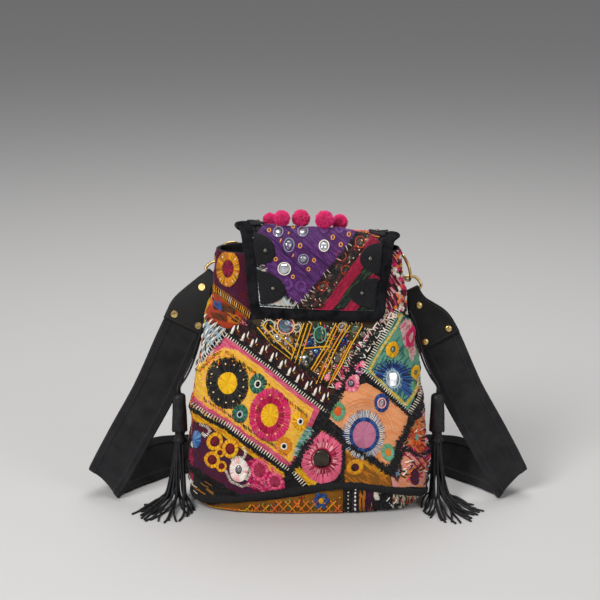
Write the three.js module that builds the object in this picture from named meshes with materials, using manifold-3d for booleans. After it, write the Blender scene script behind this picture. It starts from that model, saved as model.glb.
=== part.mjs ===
// A soft patchwork pouch bag with a front flap, a wide shoulder strap and two tassels.
// The pouch stands on its base with the strap fallen to both sides and behind it.
// Millimetres, +Z up, the front faces -Y, and the origin is the middle of the flat base.
import * as THREE from 'three';
import { mergeVertices } from 'three/addons/utils/BufferGeometryUtils.js';
import Module from 'manifold-3d';

const wasm = await Module();
wasm.setup();

// Clearances
const GAP = 0.3;

// The pouch
const POUCH_WIDTH = 240;
const POUCH_DEPTH = 108;
const MOUTH_HEIGHT = 264;
const CLOTH = 2.4;
const FRONT_SEAM = 0.16;
const BACK_SEAM = 0.38;
const SEAM_HEIGHT = 34;
const PIPING_WIDTH = 8;
const PIPING_RISE = 3.6;

// The flap and its trim
const FLAP_WIDTH = 158;
const FLAP_SHIFT = 8.5;
const FLAP_HEM_HEIGHT = 201;
const FLAP_ROOT_HEIGHT = 237;
const FLAP_RISE = 17;
const FLAP_CLOTH = 2.4;
const FLAP_STANDOFF = 1.6;
const BINDING_WIDTH = 13;
const BINDING_THICK = 5.6;
const SCALLOP_RADIUS = 14.5;
const SCALLOP_THICK = 1.2;
const STUD_RADIUS = 2;
const POMPOM_RADIUS = 9;

// Brass rings and the tabs that hold them
const RING_RADIUS = 15.5;
const RING_WIRE = 1.5;
const RING_HEIGHT = 243;
const D_RING_WIDTH = 22;
const D_RING_HEIGHT = 16;
const TAB_WIDTH = 9;
const TAB_CLOTH = 1.6;
const TAB_LENGTH = 17;

// The strap and its leather ends
const STRAP_WIDTH = 44;
const STRAP_THICK = 4.4;
const STRAP_HEM = 8;
const STRAP_SPREAD = 92;
const LEATHER = 1.8;
const CHAPE_LENGTH = 60;
const CHAPE_NECK = 15;
const RIVET_RADIUS = 3.6;
const RIVET_RISE = 1.6;

// The drawstring ends and their tassels
const CORD_DIAMETER = 4.6;
const TASSEL_TOP = 113;
const TASSEL_HEAD_LENGTH = 38;
const TASSEL_HEAD_RADIUS = 7.6;
const LOCK_RADIUS = 3.4;
const FRINGE_REACH = 70;

// Outline of the pouch: heights are shares of the mouth's height, widths and depths are
// shares of the pouch's, and square is how boxy the outline is, from 2, an ellipse.
const POUCH_SECTIONS = [
  { up: 0.0, wide: 0.83, deep: 0.78, square: 3.3 },
  { up: 0.015, wide: 0.9, deep: 0.87, square: 3.3 },
  { up: 0.04, wide: 0.965, deep: 0.94, square: 3.3 },
  { up: 0.08, wide: 0.995, deep: 0.985, square: 3.3 },
  { up: 0.2, wide: 1.0, deep: 1.0, square: 3.2 },
  { up: 0.35, wide: 0.985, deep: 0.99, square: 3.1 },
  { up: 0.45, wide: 0.965, deep: 0.95, square: 3.0 },
  { up: 0.6, wide: 0.9, deep: 0.86, square: 2.9 },
  { up: 0.75, wide: 0.825, deep: 0.73, square: 2.8 },
  { up: 0.88, wide: 0.775, deep: 0.6, square: 2.7 },
  { up: 1.0, wide: 0.75, deep: 0.5, square: 2.6 },
];

// Soft dents and bulges of the stuffed cloth. turn is a share of the way round from the
// middle of the front, up a share of the height, swell a share of the pouch's depth.
const POUCH_DENTS = [
  { turn: 0.0, up: 0.32, across: 0.1, tall: 0.16, swell: 0.028 },
  { turn: 0.1, up: 0.58, across: 0.05, tall: 0.1, swell: -0.014 },
  { turn: -0.12, up: 0.5, across: 0.05, tall: 0.12, swell: -0.018 },
  { turn: 0.14, up: 0.2, across: 0.04, tall: 0.09, swell: 0.012 },
  { turn: -0.05, up: 0.14, across: 0.05, tall: 0.05, swell: -0.01 },
  { turn: 0.25, up: 0.45, across: 0.05, tall: 0.2, swell: -0.03 },
  { turn: -0.25, up: 0.42, across: 0.05, tall: 0.2, swell: -0.026 },
  { turn: 0.5, up: 0.35, across: 0.12, tall: 0.2, swell: 0.014 },
];

// Height of the seam between the pouch and its base panel, round the bag from the back
// left corner by way of the front, as shares of the seam's greatest height.
const SEAM_ROUND = [
  { turn: -0.5, up: 0.58 },
  { turn: -0.36, up: 0.5 },
  { turn: -0.25, up: 0.36 },
  { turn: -0.17, up: 0.42 },
  { turn: -0.09, up: 0.62 },
  { turn: -0.03, up: 0.78 },
  { turn: 0.03, up: 0.94 },
  { turn: 0.06, up: 1.0 },
  { turn: 0.09, up: 0.94 },
  { turn: 0.15, up: 0.74 },
  { turn: 0.21, up: 0.48 },
  { turn: 0.25, up: 0.42 },
  { turn: 0.36, up: 0.5 },
  { turn: 0.5, up: 0.58 },
];

// Half width of the flap along its length, from the hem in front to the root at the back,
// as shares of half the flap's width.
const FLAP_OUTLINE = [
  { along: 0.0, wide: 0.82 },
  { along: 0.1, wide: 0.85 },
  { along: 0.5, wide: 0.96 },
  { along: 0.62, wide: 1.02 },
  { along: 0.76, wide: 1.02 },
  { along: 0.88, wide: 0.76 },
  { along: 1.0, wide: 0.58 },
];

// Half discs of black cloth along both sides of the flap: place is a share of the flap's
// length from the hem, size a share of the scallop's radius.
const SCALLOPS = [
  { name: 'lower', place: 0.17, size: 1.05 },
  { name: 'upper', place: 0.38, size: 0.98 },
  { name: 'crown', place: 0.62, size: 0.9 },
];

// Pompoms on the crest of the flap. across is a share of the flap's width from its middle,
// along a share of the flap's length, size a share of the pompom's radius.
const POMPOMS = [
  { across: -0.3, along: 0.73, size: 0.82 },
  { across: -0.225, along: 0.62, size: 0.96 },
  { across: -0.105, along: 0.67, size: 1.04 },
  { across: 0.042, along: 0.63, size: 1.08 },
  { across: 0.14, along: 0.745, size: 0.94 },
];

// The route of half the strap from its ring to the middle behind the bag. out is a share
// of the spread beyond the pouch's side, back a share of half the pouch's depth, and up a
// share of the ring's height. The last three columns say which way its width lies.
const STRAP_ROUTE = [
  { out: 0.135, back: 0.46, up: 0.672, wx: 0.84, wy: 0.1, wz: 0.5 },
  { out: 0.41, back: 0.35, up: 0.445, wx: 0.84, wy: 0.18, wz: 0.52 },
  { out: 0.7, back: 0.22, up: 0.25, wx: 0.83, wy: 0.22, wz: 0.52 },
  { out: 0.89, back: 0.1, up: 0.12, wx: 0.76, wy: 0.34, wz: 0.56 },
  { out: 0.96, back: 0.06, up: 0.066, wx: 0.68, wy: 0.44, wz: 0.59 },
  { out: 0.93, back: 0.26, up: 0.056, wx: 0.52, wy: 0.58, wz: 0.63 },
  { out: 0.8, back: 0.54, up: 0.064, wx: 0.2, wy: 0.7, wz: 0.68 },
  { out: 0.54, back: 0.98, up: 0.066, wx: -0.1, wy: 0.7, wz: 0.7 },
  { out: 0.24, back: 1.44, up: 0.066, wx: -0.14, wy: 0.7, wz: 0.7 },
  { out: -0.4, back: 1.72, up: 0.066, wx: -0.05, wy: 0.72, wz: 0.7 },
];

// Where the locks of a tassel's fringe lie on the floor: aim is the way they point in
// degrees round from straight forward, outward positive, run a share of the reach.
const FRINGE_LOCKS = [
  { aim: -30, run: 0.34, lift: 0.2 },
  { aim: -15, run: 0.58, lift: 0.3 },
  { aim: -2, run: 0.76, lift: 0.4 },
  { aim: 10, run: 0.86, lift: 0.5 },
  { aim: 21, run: 0.95, lift: 0.4 },
  { aim: 31, run: 1.0, lift: 0.52 },
  { aim: 42, run: 1.04, lift: 0.42 },
  { aim: 53, run: 0.88, lift: 0.6 },
  { aim: 72, run: 0.5, lift: 0.75 },
];

// The value of one column of a table at a place between its rows, on a smooth curve.
function smooth(rows, place, column, at) {
  const last = rows.length - 1;
  let i = 0;
  while (i < last - 1 && at > rows[i + 1][place]) i += 1;
  const slope = (j) => {
    const a = rows[Math.max(j - 1, 0)];
    const b = rows[Math.min(j + 1, last)];
    return (b[column] - a[column]) / (b[place] - a[place]);
  };
  const step = rows[i + 1][place] - rows[i][place];
  const t = Math.min(Math.max((at - rows[i][place]) / step, 0), 1);
  const ease = t * t * (3 - 2 * t);
  return (
    rows[i][column] * (1 - ease) +
    rows[i + 1][column] * ease +
    slope(i) * step * t * (1 - t) * (1 - t) -
    slope(i + 1) * step * t * t * (1 - t)
  );
}

const steps = (count) => Array.from({ length: count }, (_, i) => i / (count - 1));

// A closed skin through loops of equally many points. Joined from last to first it is a
// ring, and otherwise both ends are closed by a fan round their middle.
function loft(loops, ring = false) {
  const count = loops[0].length;
  const points = loops.flat();
  const faces = [];
  const bands = ring ? loops.length : loops.length - 1;
  for (let k = 0; k < bands; k += 1) {
    const low = k * count;
    const high = ((k + 1) % loops.length) * count;
    for (let i = 0; i < count; i += 1) {
      const j = (i + 1) % count;
      faces.push(low + i, low + j, high + j, low + i, high + j, high + i);
    }
  }
  if (!ring) {
    for (const end of [0, loops.length - 1]) {
      const middle = new THREE.Vector3();
      loops[end].forEach((p) => middle.addScaledVector(p, 1 / count));
      const hub = points.push(middle) - 1;
      for (let i = 0; i < count; i += 1) {
        const a = end * count + i;
        const b = end * count + ((i + 1) % count);
        if (end === 0) faces.push(hub, b, a);
        else faces.push(hub, a, b);
      }
    }
  }
  const geometry = new THREE.BufferGeometry().setFromPoints(points).setIndex(faces);
  return facingOut(geometry);
}

// Turns a closed skin's faces round where its volume comes out negative.
function facingOut(geometry) {
  const p = geometry.getAttribute('position');
  const index = geometry.index.array;
  const [a, b, c] = [new THREE.Vector3(), new THREE.Vector3(), new THREE.Vector3()];
  let volume = 0;
  for (let i = 0; i < index.length; i += 3) {
    a.fromBufferAttribute(p, index[i]);
    b.fromBufferAttribute(p, index[i + 1]);
    c.fromBufferAttribute(p, index[i + 2]);
    volume += a.dot(b.cross(c));
  }
  if (volume < 0) {
    for (let i = 0; i < index.length; i += 3) {
      [index[i + 1], index[i + 2]] = [index[i + 2], index[i + 1]];
    }
  }
  return geometry;
}

// One solid from several closed geometries that overlap.
function fuse(geometries) {
  const solids = geometries.map((geometry) => {
    const bare = new THREE.BufferGeometry()
      .setAttribute('position', geometry.getAttribute('position'))
      .setIndex(geometry.index);
    const merged = mergeVertices(bare, 1e-4);
    return new wasm.Manifold(
      new wasm.Mesh({
        numProp: 3,
        vertProperties: new Float32Array(merged.getAttribute('position').array),
        triVerts: new Uint32Array(merged.index.array),
      }),
    );
  });
  const mesh = solids.reduce((whole, solid) => whole.add(solid)).getMesh();
  return new THREE.BufferGeometry()
    .setAttribute('position', new THREE.BufferAttribute(mesh.vertProperties, 3))
    .setIndex(new THREE.BufferAttribute(mesh.triVerts, 1));
}

const bag = new THREE.Group();

function add(name, geometry, material) {
  const mesh = new THREE.Mesh(geometry, material);
  mesh.name = name;
  bag.add(mesh);
  return mesh;
}

const patchwork = new THREE.MeshStandardMaterial({ color: 0xb98a4a, roughness: 0.9 });
const canvas = new THREE.MeshStandardMaterial({ color: 0x141416, roughness: 0.9 });
const velvet = new THREE.MeshStandardMaterial({ color: 0x0c0c0e, roughness: 1.0 });
const leather = new THREE.MeshStandardMaterial({ color: 0x121212, roughness: 0.7 });
const yarn = new THREE.MeshStandardMaterial({ color: 0xe8145e, roughness: 1.0 });
const brass = new THREE.MeshStandardMaterial({ color: 0xc49a4e, roughness: 0.3, metalness: 1 });
const waxedCord = new THREE.MeshStandardMaterial({ color: 0x0e0e10, roughness: 0.6 });

// The pouch's outer surface

const section = (z) => {
  const up = z / MOUTH_HEIGHT;
  return {
    wide: (POUCH_WIDTH / 2) * smooth(POUCH_SECTIONS, 'up', 'wide', up),
    deep: (POUCH_DEPTH / 2) * smooth(POUCH_SECTIONS, 'up', 'deep', up),
    square: smooth(POUCH_SECTIONS, 'up', 'square', up),
  };
};

// How far the pouch's face lies from its middle plane at a place across it.
function faceDepth(x, z) {
  const { wide, deep, square } = section(z);
  const share = Math.min(Math.abs(x) / wide, 1);
  return deep * (1 - share ** square) ** (1 / square);
}

const OUTLINE_SAMPLES = 720;

// The outline at a height as a function of the turn, at even steps along the cloth.
function outlineAt(z, inset) {
  const { wide, deep, square } = section(z);
  const corner = [];
  const length = [0];
  for (let i = 0; i <= OUTLINE_SAMPLES; i += 1) {
    const angle = (2 * Math.PI * i) / OUTLINE_SAMPLES;
    const [s, c] = [Math.sin(angle), -Math.cos(angle)];
    const power = 2 / square;
    corner.push([
      (wide - inset) * Math.sign(s) * Math.abs(s) ** power,
      (deep - inset) * Math.sign(c) * Math.abs(c) ** power,
    ]);
    if (i) {
      const [a, b] = [corner[i - 1], corner[i]];
      length.push(length[i - 1] + Math.hypot(b[0] - a[0], b[1] - a[1]));
    }
  }
  const whole = length[OUTLINE_SAMPLES];
  return (turn) => {
    const at = (((turn % 1) + 1) % 1) * whole;
    let i = 1;
    while (length[i] < at) i += 1;
    const t = (at - length[i - 1]) / (length[i] - length[i - 1]);
    const [a, b] = [corner[i - 1], corner[i]];
    return [a[0] + (b[0] - a[0]) * t, a[1] + (b[1] - a[1]) * t];
  };
}

// How far the dents and bulges move the cloth outwards at a turn and height.
function swellAt(turn, z) {
  const up = z / MOUTH_HEIGHT;
  return POUCH_DENTS.reduce((sum, dent) => {
    const round = turn - dent.turn - Math.round(turn - dent.turn);
    const near = Math.exp(-((round / dent.across) ** 2) - ((up - dent.up) / dent.tall) ** 2);
    return sum + near * dent.swell * POUCH_DEPTH;
  }, 0);
}

// A point of the pouch, inset from its outer surface by some thickness.
function pouchPoint(turn, z, inset, outline = outlineAt(z, inset)) {
  const [x, y] = outline(turn);
  const reach = Math.hypot(x, y);
  const swell = swellAt(turn, z) / reach;
  return new THREE.Vector3(x * (1 + swell), y * (1 + swell), z);
}

const seamAt = (turn) => {
  const round = turn - Math.round(turn);
  return SEAM_HEIGHT * smooth(SEAM_ROUND, 'turn', 'up', round);
};

// The pouch's walls: patchwork in front and round both sides, and a canvas back

const ROUND_STEPS = 50;
const roundTurns = Array.from({ length: ROUND_STEPS }, (_, i) => i / ROUND_STEPS);
const WALL_ROWS = [0, 0.07, 0.16, 0.27, 0.38, 0.49, 0.6, 0.71, 0.81, 0.91, 1];

function wallPanel(from, to, stations) {
  const loops = steps(stations).map((share) => {
    const turn = from + (to - from) * share;
    const foot = seamAt(turn) + GAP / 2;
    const heights = WALL_ROWS.map((row) => foot + (MOUTH_HEIGHT - foot) * row);
    const outer = heights.map((z) => pouchPoint(turn, z, 0));
    const inner = heights.map((z) => pouchPoint(turn, z, CLOTH));
    return [...outer, ...inner.reverse()];
  });
  return loft(loops);
}

// Each wall runs from one seam to the next, told by its turn round the pouch.
const WALLS = [
  { name: 'front_panel', from: -FRONT_SEAM, to: FRONT_SEAM, cloth: patchwork },
  { name: 'side_panel_right', from: FRONT_SEAM, to: BACK_SEAM, cloth: patchwork },
  { name: 'back_panel', from: BACK_SEAM, to: 1 - BACK_SEAM, cloth: canvas },
  { name: 'side_panel_left', from: -BACK_SEAM, to: -FRONT_SEAM, cloth: patchwork },
];
const seamGap = GAP / (POUCH_WIDTH + POUCH_DEPTH) / 2;
for (const { name, from, to, cloth } of WALLS) {
  const stations = Math.round((to - from) * ROUND_STEPS) + 1;
  add(name, wallPanel(from + seamGap, to - seamGap, stations), cloth);
}

// The base panel: a shallow cup of cloth under the pouch

const BASE_RISE = [0, 0.14, 0.5, 1];

function baseLoop(share, inset) {
  return roundTurns.map((turn) => {
    const top = seamAt(turn) - GAP / 2;
    return pouchPoint(turn, inset + (top - inset) * share, inset);
  });
}

const outerBase = BASE_RISE.map((share) => baseLoop(share, 0));
const innerBase = BASE_RISE.map((share) => baseLoop(share, CLOTH)).reverse();
add('base_panel', loft([...outerBase, ...innerBase]), patchwork);

// The piping: a padded black cord cover that lies over the seam all round

const PIPING_SECTION = [
  { out: 0, up: -0.5 },
  { out: 0.72, up: -0.3 },
  { out: 1, up: 0 },
  { out: 0.72, up: 0.3 },
  { out: 0, up: 0.5 },
  { out: 0, up: 0 },
];

const piping = roundTurns.map((turn) => {
  const seam = seamAt(turn);
  return PIPING_SECTION.map(({ out, up }) => {
    const z = Math.max(seam + up * PIPING_WIDTH, 0);
    return pouchPoint(turn, z, -(GAP * 2 + out * PIPING_RISE));
  });
});
add('base_piping', loft(piping, true), canvas);

// The flap's middle surface: along runs from the hem in front over the crest to the root

const flapOffset = BINDING_THICK / 2 + FLAP_STANDOFF;
const HEM_TILT = 0.032;
const CREST_TILT = 0.088;

function flapProfile() {
  const rows = [];
  for (const t of steps(16)) {
    const z = FLAP_HEM_HEIGHT + (MOUTH_HEIGHT - FLAP_HEM_HEIGHT) * t;
    rows.push({ side: -1, z, arch: 0 });
  }
  for (const t of steps(18).slice(1, -1)) {
    const angle = Math.PI * t;
    rows.push({ side: -Math.cos(angle), z: MOUTH_HEIGHT, arch: Math.sin(angle) });
  }
  for (const t of steps(9)) {
    const z = MOUTH_HEIGHT - (MOUTH_HEIGHT - FLAP_ROOT_HEIGHT) * t;
    rows.push({ side: 1, z, arch: 0 });
  }
  return rows;
}

const profile = flapProfile();

// A point of the flap's middle surface from a row of its profile, at a place across it.
function onProfile(row, x) {
  const level = THREE.MathUtils.clamp(
    (row.z - FLAP_HEM_HEIGHT) / (MOUTH_HEIGHT - FLAP_HEM_HEIGHT), 0, 1,
  );
  const tilt = HEM_TILT + (CREST_TILT - HEM_TILT) * level * (row.side > 0 ? 0.5 : 1);
  const z = row.z - tilt * (x - FLAP_SHIFT);
  const { wide, deep, square } = section(Math.min(z, MOUTH_HEIGHT));
  const edge = Math.min(Math.abs(x) / (wide + flapOffset), 1);
  const narrow = (1 - edge ** square) ** (1 / square);
  const y = row.side * (deep + flapOffset) * narrow;
  return new THREE.Vector3(x, y, z + row.arch * FLAP_RISE);
}

const profileLength = [0];
profile.slice(1).forEach((row, i) => {
  const here = onProfile(row, FLAP_SHIFT);
  profileLength.push(profileLength[i] + here.distanceTo(onProfile(profile[i], FLAP_SHIFT)));
});
const FLAP_LENGTH = profileLength[profile.length - 1];

// A point and the outward normal of the flap: x across from the pouch's middle, and the
// distance along the flap from its hem.
function flapMiddle(x, distance) {
  let i = 1;
  while (i < profile.length - 1 && profileLength[i] < distance) i += 1;
  const t = (distance - profileLength[i - 1]) / (profileLength[i] - profileLength[i - 1]);
  return onProfile(profile[i - 1], x).lerp(onProfile(profile[i], x), t);
}

function flapPoint(x, distance, lift) {
  const d = 1.5;
  const across = flapMiddle(x + d, distance).sub(flapMiddle(x - d, distance));
  const along = flapMiddle(x, distance + d).sub(flapMiddle(x, distance - d));
  const normal = across.cross(along).normalize();
  return flapMiddle(x, distance).addScaledVector(normal, lift);
}

const flapEdge = (distance, side) =>
  FLAP_SHIFT +
  ((side * FLAP_WIDTH) / 2) *
    smooth(FLAP_OUTLINE, 'along', 'wide', distance / FLAP_LENGTH);

// Places along the flap's length, closest together where it turns over the mouth
const crestFoot = profileLength[15];
const crestEnd = profileLength[31];
const flapStations = [
  ...steps(7).map((t) => BINDING_WIDTH + (crestFoot - 4 - BINDING_WIDTH) * t),
  ...steps(11).map((t) => crestFoot + (crestEnd - crestFoot) * t),
  ...steps(3).map((t) => crestEnd + 6 + (FLAP_LENGTH - crestEnd - 6) * t),
];

// The flap's cloth, held in the fold of the binding

const BINDING_GRIP = 6;
const flapInset = BINDING_WIDTH - BINDING_GRIP + GAP;

// How far the cloth reaches into the binding's fold, less at the hem's rounded corners
const heldRows = [
  { distance: flapInset, held: BINDING_GRIP * 0.12 },
  { distance: flapInset + BINDING_GRIP * 0.24, held: BINDING_GRIP * 0.72 },
  ...flapStations.map((distance) => ({ distance, held: BINDING_GRIP - GAP })),
];

function flapCloth() {
  const loops = heldRows.map(({ distance, held }) => {
    const left = flapEdge(distance, -1) + BINDING_WIDTH;
    const right = flapEdge(distance, 1) - BINDING_WIDTH;
    const across = steps(9).map((t) => left + (right - left) * t);
    const places = [left - held, ...across, right + held];
    const skin = (lift) => places.map((x) => flapPoint(x, distance, lift));
    return [...skin(FLAP_CLOTH / 2), ...skin(-FLAP_CLOTH / 2).reverse()];
  });
  return loft(loops);
}

add('flap_panel', flapCloth(), patchwork);

// The binding: black tape folded over the flap's edge, down both sides and along the hem

const slot = FLAP_CLOTH / 2 + GAP * 1.5;
const half = BINDING_THICK / 2;
const BINDING_SECTION = [
  { across: 0, lift: -half * 0.45 },
  { across: 0, lift: half * 0.45 },
  { across: 2.2, lift: half },
  { across: BINDING_WIDTH, lift: half * 0.8 },
  { across: BINDING_WIDTH, lift: slot },
  { across: BINDING_WIDTH - BINDING_GRIP, lift: slot },
  { across: BINDING_WIDTH - BINDING_GRIP, lift: -slot },
  { across: BINDING_WIDTH, lift: -slot },
  { across: BINDING_WIDTH, lift: -half * 0.8 },
  { across: 2.2, lift: -half },
];

const CORNER_ROUND = 0.82;

// Stations round the flap's edge, each the outer end and the inner end of a section.
function bindingStations() {
  const side = (sign) =>
    flapStations.map((distance) => ({
      outer: [flapEdge(distance, sign), distance],
      inner: [flapEdge(distance, sign) - sign * BINDING_WIDTH, distance],
    }));
  const corner = (sign) => {
    const inner = [flapEdge(BINDING_WIDTH, sign) - sign * BINDING_WIDTH, BINDING_WIDTH];
    const tip = [flapEdge(0, sign), 0];
    return {
      outer: [0, 1].map((k) => inner[k] + (tip[k] - inner[k]) * CORNER_ROUND),
      inner,
    };
  };
  const inset = flapEdge(0, 1) - FLAP_SHIFT - BINDING_WIDTH;
  const hem = steps(10).map((t) => {
    const x = FLAP_SHIFT + inset * (2 * t - 1);
    return { outer: [x, 0], inner: [x, BINDING_WIDTH] };
  });
  return [...side(-1).reverse(), corner(-1), ...hem, corner(1), ...side(1)];
}

const binding = bindingStations().map(({ outer, inner }) =>
  BINDING_SECTION.map(({ across, lift }) => {
    const t = across / BINDING_WIDTH;
    const x = outer[0] + (inner[0] - outer[0]) * t;
    const distance = outer[1] + (inner[1] - outer[1]) * t;
    return flapPoint(x, distance, lift);
  }),
);
add('flap_binding', loft(binding), velvet);

// The scallops: half discs of black cloth with a small metal stud each

const scallopLift = FLAP_CLOTH / 2 + GAP * 2;

// A small round cap with a flat foot.
function dome(radius, rise) {
  const outline = [[0, 0], [1, 0], [0.72, 0.7], [0, 1]].map(
    ([r, h]) => new THREE.Vector2(r * radius, h * rise),
  );
  return new THREE.LatheGeometry(outline, 7);
}

// A half disc laid on the flap with its straight side along the binding.
function scallopSheet(side, middle, radius) {
  const root = (distance) => flapEdge(distance, side) - side * (BINDING_WIDTH + GAP * 2);
  return loft(
    steps(7).map((t) => {
      const angle = Math.PI * (t - 0.5) * 0.97;
      const distance = middle + radius * Math.sin(angle);
      const places = steps(3).map((u) => root(distance) - side * radius * Math.cos(angle) * u);
      const skin = (lift) => places.map((x) => flapPoint(x, distance, lift));
      return [...skin(scallopLift + SCALLOP_THICK), ...skin(scallopLift).reverse()];
    }),
  );
}

const outOf = (normal) =>
  new THREE.Quaternion().setFromUnitVectors(new THREE.Vector3(0, 1, 0), normal);

for (const side of [-1, 1]) {
  const hand = side < 0 ? 'left' : 'right';
  for (const { name, place, size } of SCALLOPS) {
    const radius = SCALLOP_RADIUS * size;
    const middle = FLAP_LENGTH * place;
    add(`scallop_${name}_${hand}`, scallopSheet(side, middle, radius), velvet);
    const x = flapEdge(middle, side) - side * (BINDING_WIDTH + radius * 0.45);
    const seat = flapPoint(x, middle, scallopLift + SCALLOP_THICK + GAP);
    const normal = seat.clone().sub(flapPoint(x, middle, 0)).normalize();
    const stud = add(`scallop_stud_${name}_${hand}`, dome(STUD_RADIUS, STUD_RADIUS * 0.8), brass);
    stud.position.copy(seat);
    stud.quaternion.copy(outOf(normal));
  }
}

// The pompoms: wool balls with their locks as points all over, sewn along the crest

function pompom(radius) {
  const ball = mergeVertices(stripped(new THREE.IcosahedronGeometry(radius * 0.86, 1)), 1e-3);
  const p = ball.getAttribute('position');
  const points = [];
  for (let i = 0; i < p.count; i += 1) points.push(new THREE.Vector3().fromBufferAttribute(p, i));
  const faces = [];
  const index = ball.index.array;
  for (let i = 0; i < index.length; i += 3) {
    const [a, b, c] = [index[i], index[i + 1], index[i + 2]];
    const tip = points[a].clone().add(points[b]).add(points[c]).setLength(radius);
    const t = points.push(tip) - 1;
    faces.push(a, b, t, b, c, t, c, a, t);
  }
  return new THREE.BufferGeometry().setFromPoints(points).setIndex(faces);
}

function stripped(geometry) {
  geometry.deleteAttribute('normal');
  geometry.deleteAttribute('uv');
  return geometry;
}

POMPOMS.forEach(({ across, along, size }, i) => {
  const radius = POMPOM_RADIUS * size;
  const x = FLAP_SHIFT + across * FLAP_WIDTH;
  const seat = flapPoint(x, along * FLAP_LENGTH, FLAP_CLOTH / 2 + GAP + radius);
  add(`pompom_${i + 1}`, pompom(radius), yarn).position.copy(seat);
});

// The brass rings, the D-rings on the strap and the cloth tabs

// Each side's ring: how far its middle lies outside the place where the tab leaves the
// pouch's back, the way its plane faces and the way the strap pulls from it.
const RING_SIDES = [
  { side: -1, reach: -0.105, behind: 0.62, spin: -20, pull: [-0.67, 0.02, -0.74], fall: 40, twist: 32 },
  { side: 1, reach: 0.03, behind: 0.45, spin: -68, pull: [0.27, 0.03, -0.96], fall: 24, twist: 10 },
];

// A ribbon folded back on itself round a wire: leaves is the half spacing of its two
// leaves at their ends, and place(s, w, n) maps its length, width and thickness.
function hairpin(place, length, wire, leaves, thickness, widthAt, rows, across) {
  const turnRadius = wire + GAP + thickness / 2;
  const route = [];
  for (const t of steps(rows)) {
    const s = length * (1 - t);
    const spread = turnRadius + (leaves - turnRadius) * Math.min(s / (turnRadius * 4), 1);
    route.push({ s, n: spread, nx: 0, ny: 1 });
  }
  for (const t of steps(7).slice(1, -1)) {
    const angle = Math.PI * t;
    const [nx, ny] = [-Math.sin(angle), Math.cos(angle)];
    route.push({ s: turnRadius * nx, n: turnRadius * ny, nx, ny });
  }
  const back = route.slice(0, rows).map(({ s, n }) => ({ s, n: -n, nx: 0, ny: -1 }));
  route.push(...back.reverse());
  return loft(
    route.map(({ s, n, nx, ny }) => {
      const w = widthAt(s) / 2;
      const skin = (h) => across.map((share) => place(s + nx * h, share * w, n + ny * h));
      return [...skin(thickness / 2), ...skin(-thickness / 2).reverse()];
    }),
  );
}

const strapStart = {};
for (const { side, reach, behind, spin, pull, fall, twist } of RING_SIDES) {
  const hand = side < 0 ? 'left' : 'right';
  const wide = section(RING_HEIGHT).wide;
  const drop = side * CREST_TILT * 50;
  const centre = new THREE.Vector3(
    side * (wide + reach * POUCH_WIDTH / 2),
    behind * POUCH_DEPTH / 2,
    RING_HEIGHT - drop,
  );
  const away = new THREE.Vector3(...pull).normalize();
  const turned = THREE.MathUtils.degToRad(spin);
  const toTab = new THREE.Vector3(-side * Math.cos(turned), -Math.sin(turned), 0);
  const facing = new THREE.Vector3().crossVectors(toTab, away).normalize();
  const tangent = new THREE.Vector3().crossVectors(facing, toTab);
  const ring = add(`ring_${hand}`, new THREE.TorusGeometry(RING_RADIUS, RING_WIRE, 6, 20), brass);
  ring.position.copy(centre);
  ring.quaternion.setFromRotationMatrix(
    new THREE.Matrix4().makeBasis(toTab, tangent, facing),
  );

  // The tab is sewn to the pouch's back and goes round the ring's near side.
  const hold = centre.clone().addScaledVector(toTab, RING_RADIUS);
  const level = hold.z;
  const root = new THREE.Vector3(hold.x - side * TAB_LENGTH, 0, level);
  root.y = faceDepth(root.x, level) + swellAt(0.5, level) + TAB_CLOTH + GAP * 3;
  const run = root.clone().sub(hold);
  const length = run.length();
  run.normalize();
  const rise = tangent.clone().addScaledVector(run, -tangent.dot(run)).normalize();
  const upright = new THREE.Vector3().crossVectors(run, rise).normalize();
  const tabPlace = (s, w, n) =>
    hold.clone().addScaledVector(run, s).addScaledVector(rise, w).addScaledVector(upright, n);
  const bend = RING_WIRE + GAP * 4 + TAB_WIDTH ** 2 / 8 / RING_RADIUS;
  const leaves = TAB_CLOTH / 2 + GAP / 2;
  const tab = hairpin(tabPlace, length, bend, leaves, TAB_CLOTH, () => TAB_WIDTH, 4, [-1, 1]);
  add(`ring_tab_${hand}`, tab, canvas);

  // The D-ring hangs inside the ring, with its straight bar in the strap's end.
  const link = centre.clone().addScaledVector(away, RING_RADIUS - 2 * RING_WIRE - GAP * 2.5);
  const lean = THREE.MathUtils.degToRad(fall);
  const down = new THREE.Vector3(side * Math.sin(lean), -0.06, -Math.cos(lean)).normalize();
  const across = new THREE.Vector3(Math.cos(lean), 0, side * Math.sin(lean));
  across.addScaledVector(down, -across.dot(down)).normalize();
  across.applyAxisAngle(new THREE.Vector3(0, 0, 1), side * THREE.MathUtils.degToRad(twist));
  across.addScaledVector(down, -across.dot(down)).normalize();
  const bar = link.clone().addScaledVector(down, D_RING_HEIGHT);
  const corner = D_RING_WIDTH / 2;
  const bow = D_RING_HEIGHT - corner;
  const outline = [[-corner * 0.8, 0], [0, 0], [corner * 0.8, 0], [corner, corner * 0.22]];
  for (const t of steps(7)) {
    const angle = Math.PI * t;
    outline.push([corner * Math.cos(angle), bow + corner * Math.sin(angle)]);
  }
  outline.push([-corner, corner * 0.22]);
  const bent = outline.map(([w, s]) =>
    bar.clone().addScaledVector(across, w).addScaledVector(down, -s),
  );
  const wireLine = new THREE.CatmullRomCurve3(bent, true, 'centripetal');
  const wire = new THREE.TubeGeometry(wireLine, 20, RING_WIRE, 6, true);
  add(`d_ring_${hand}`, wire, brass);
  strapStart[side] = { bar, down, across };
}

// The strap's middle line and the way its width lies, from the right D-ring round the
// back to the left one

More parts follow.
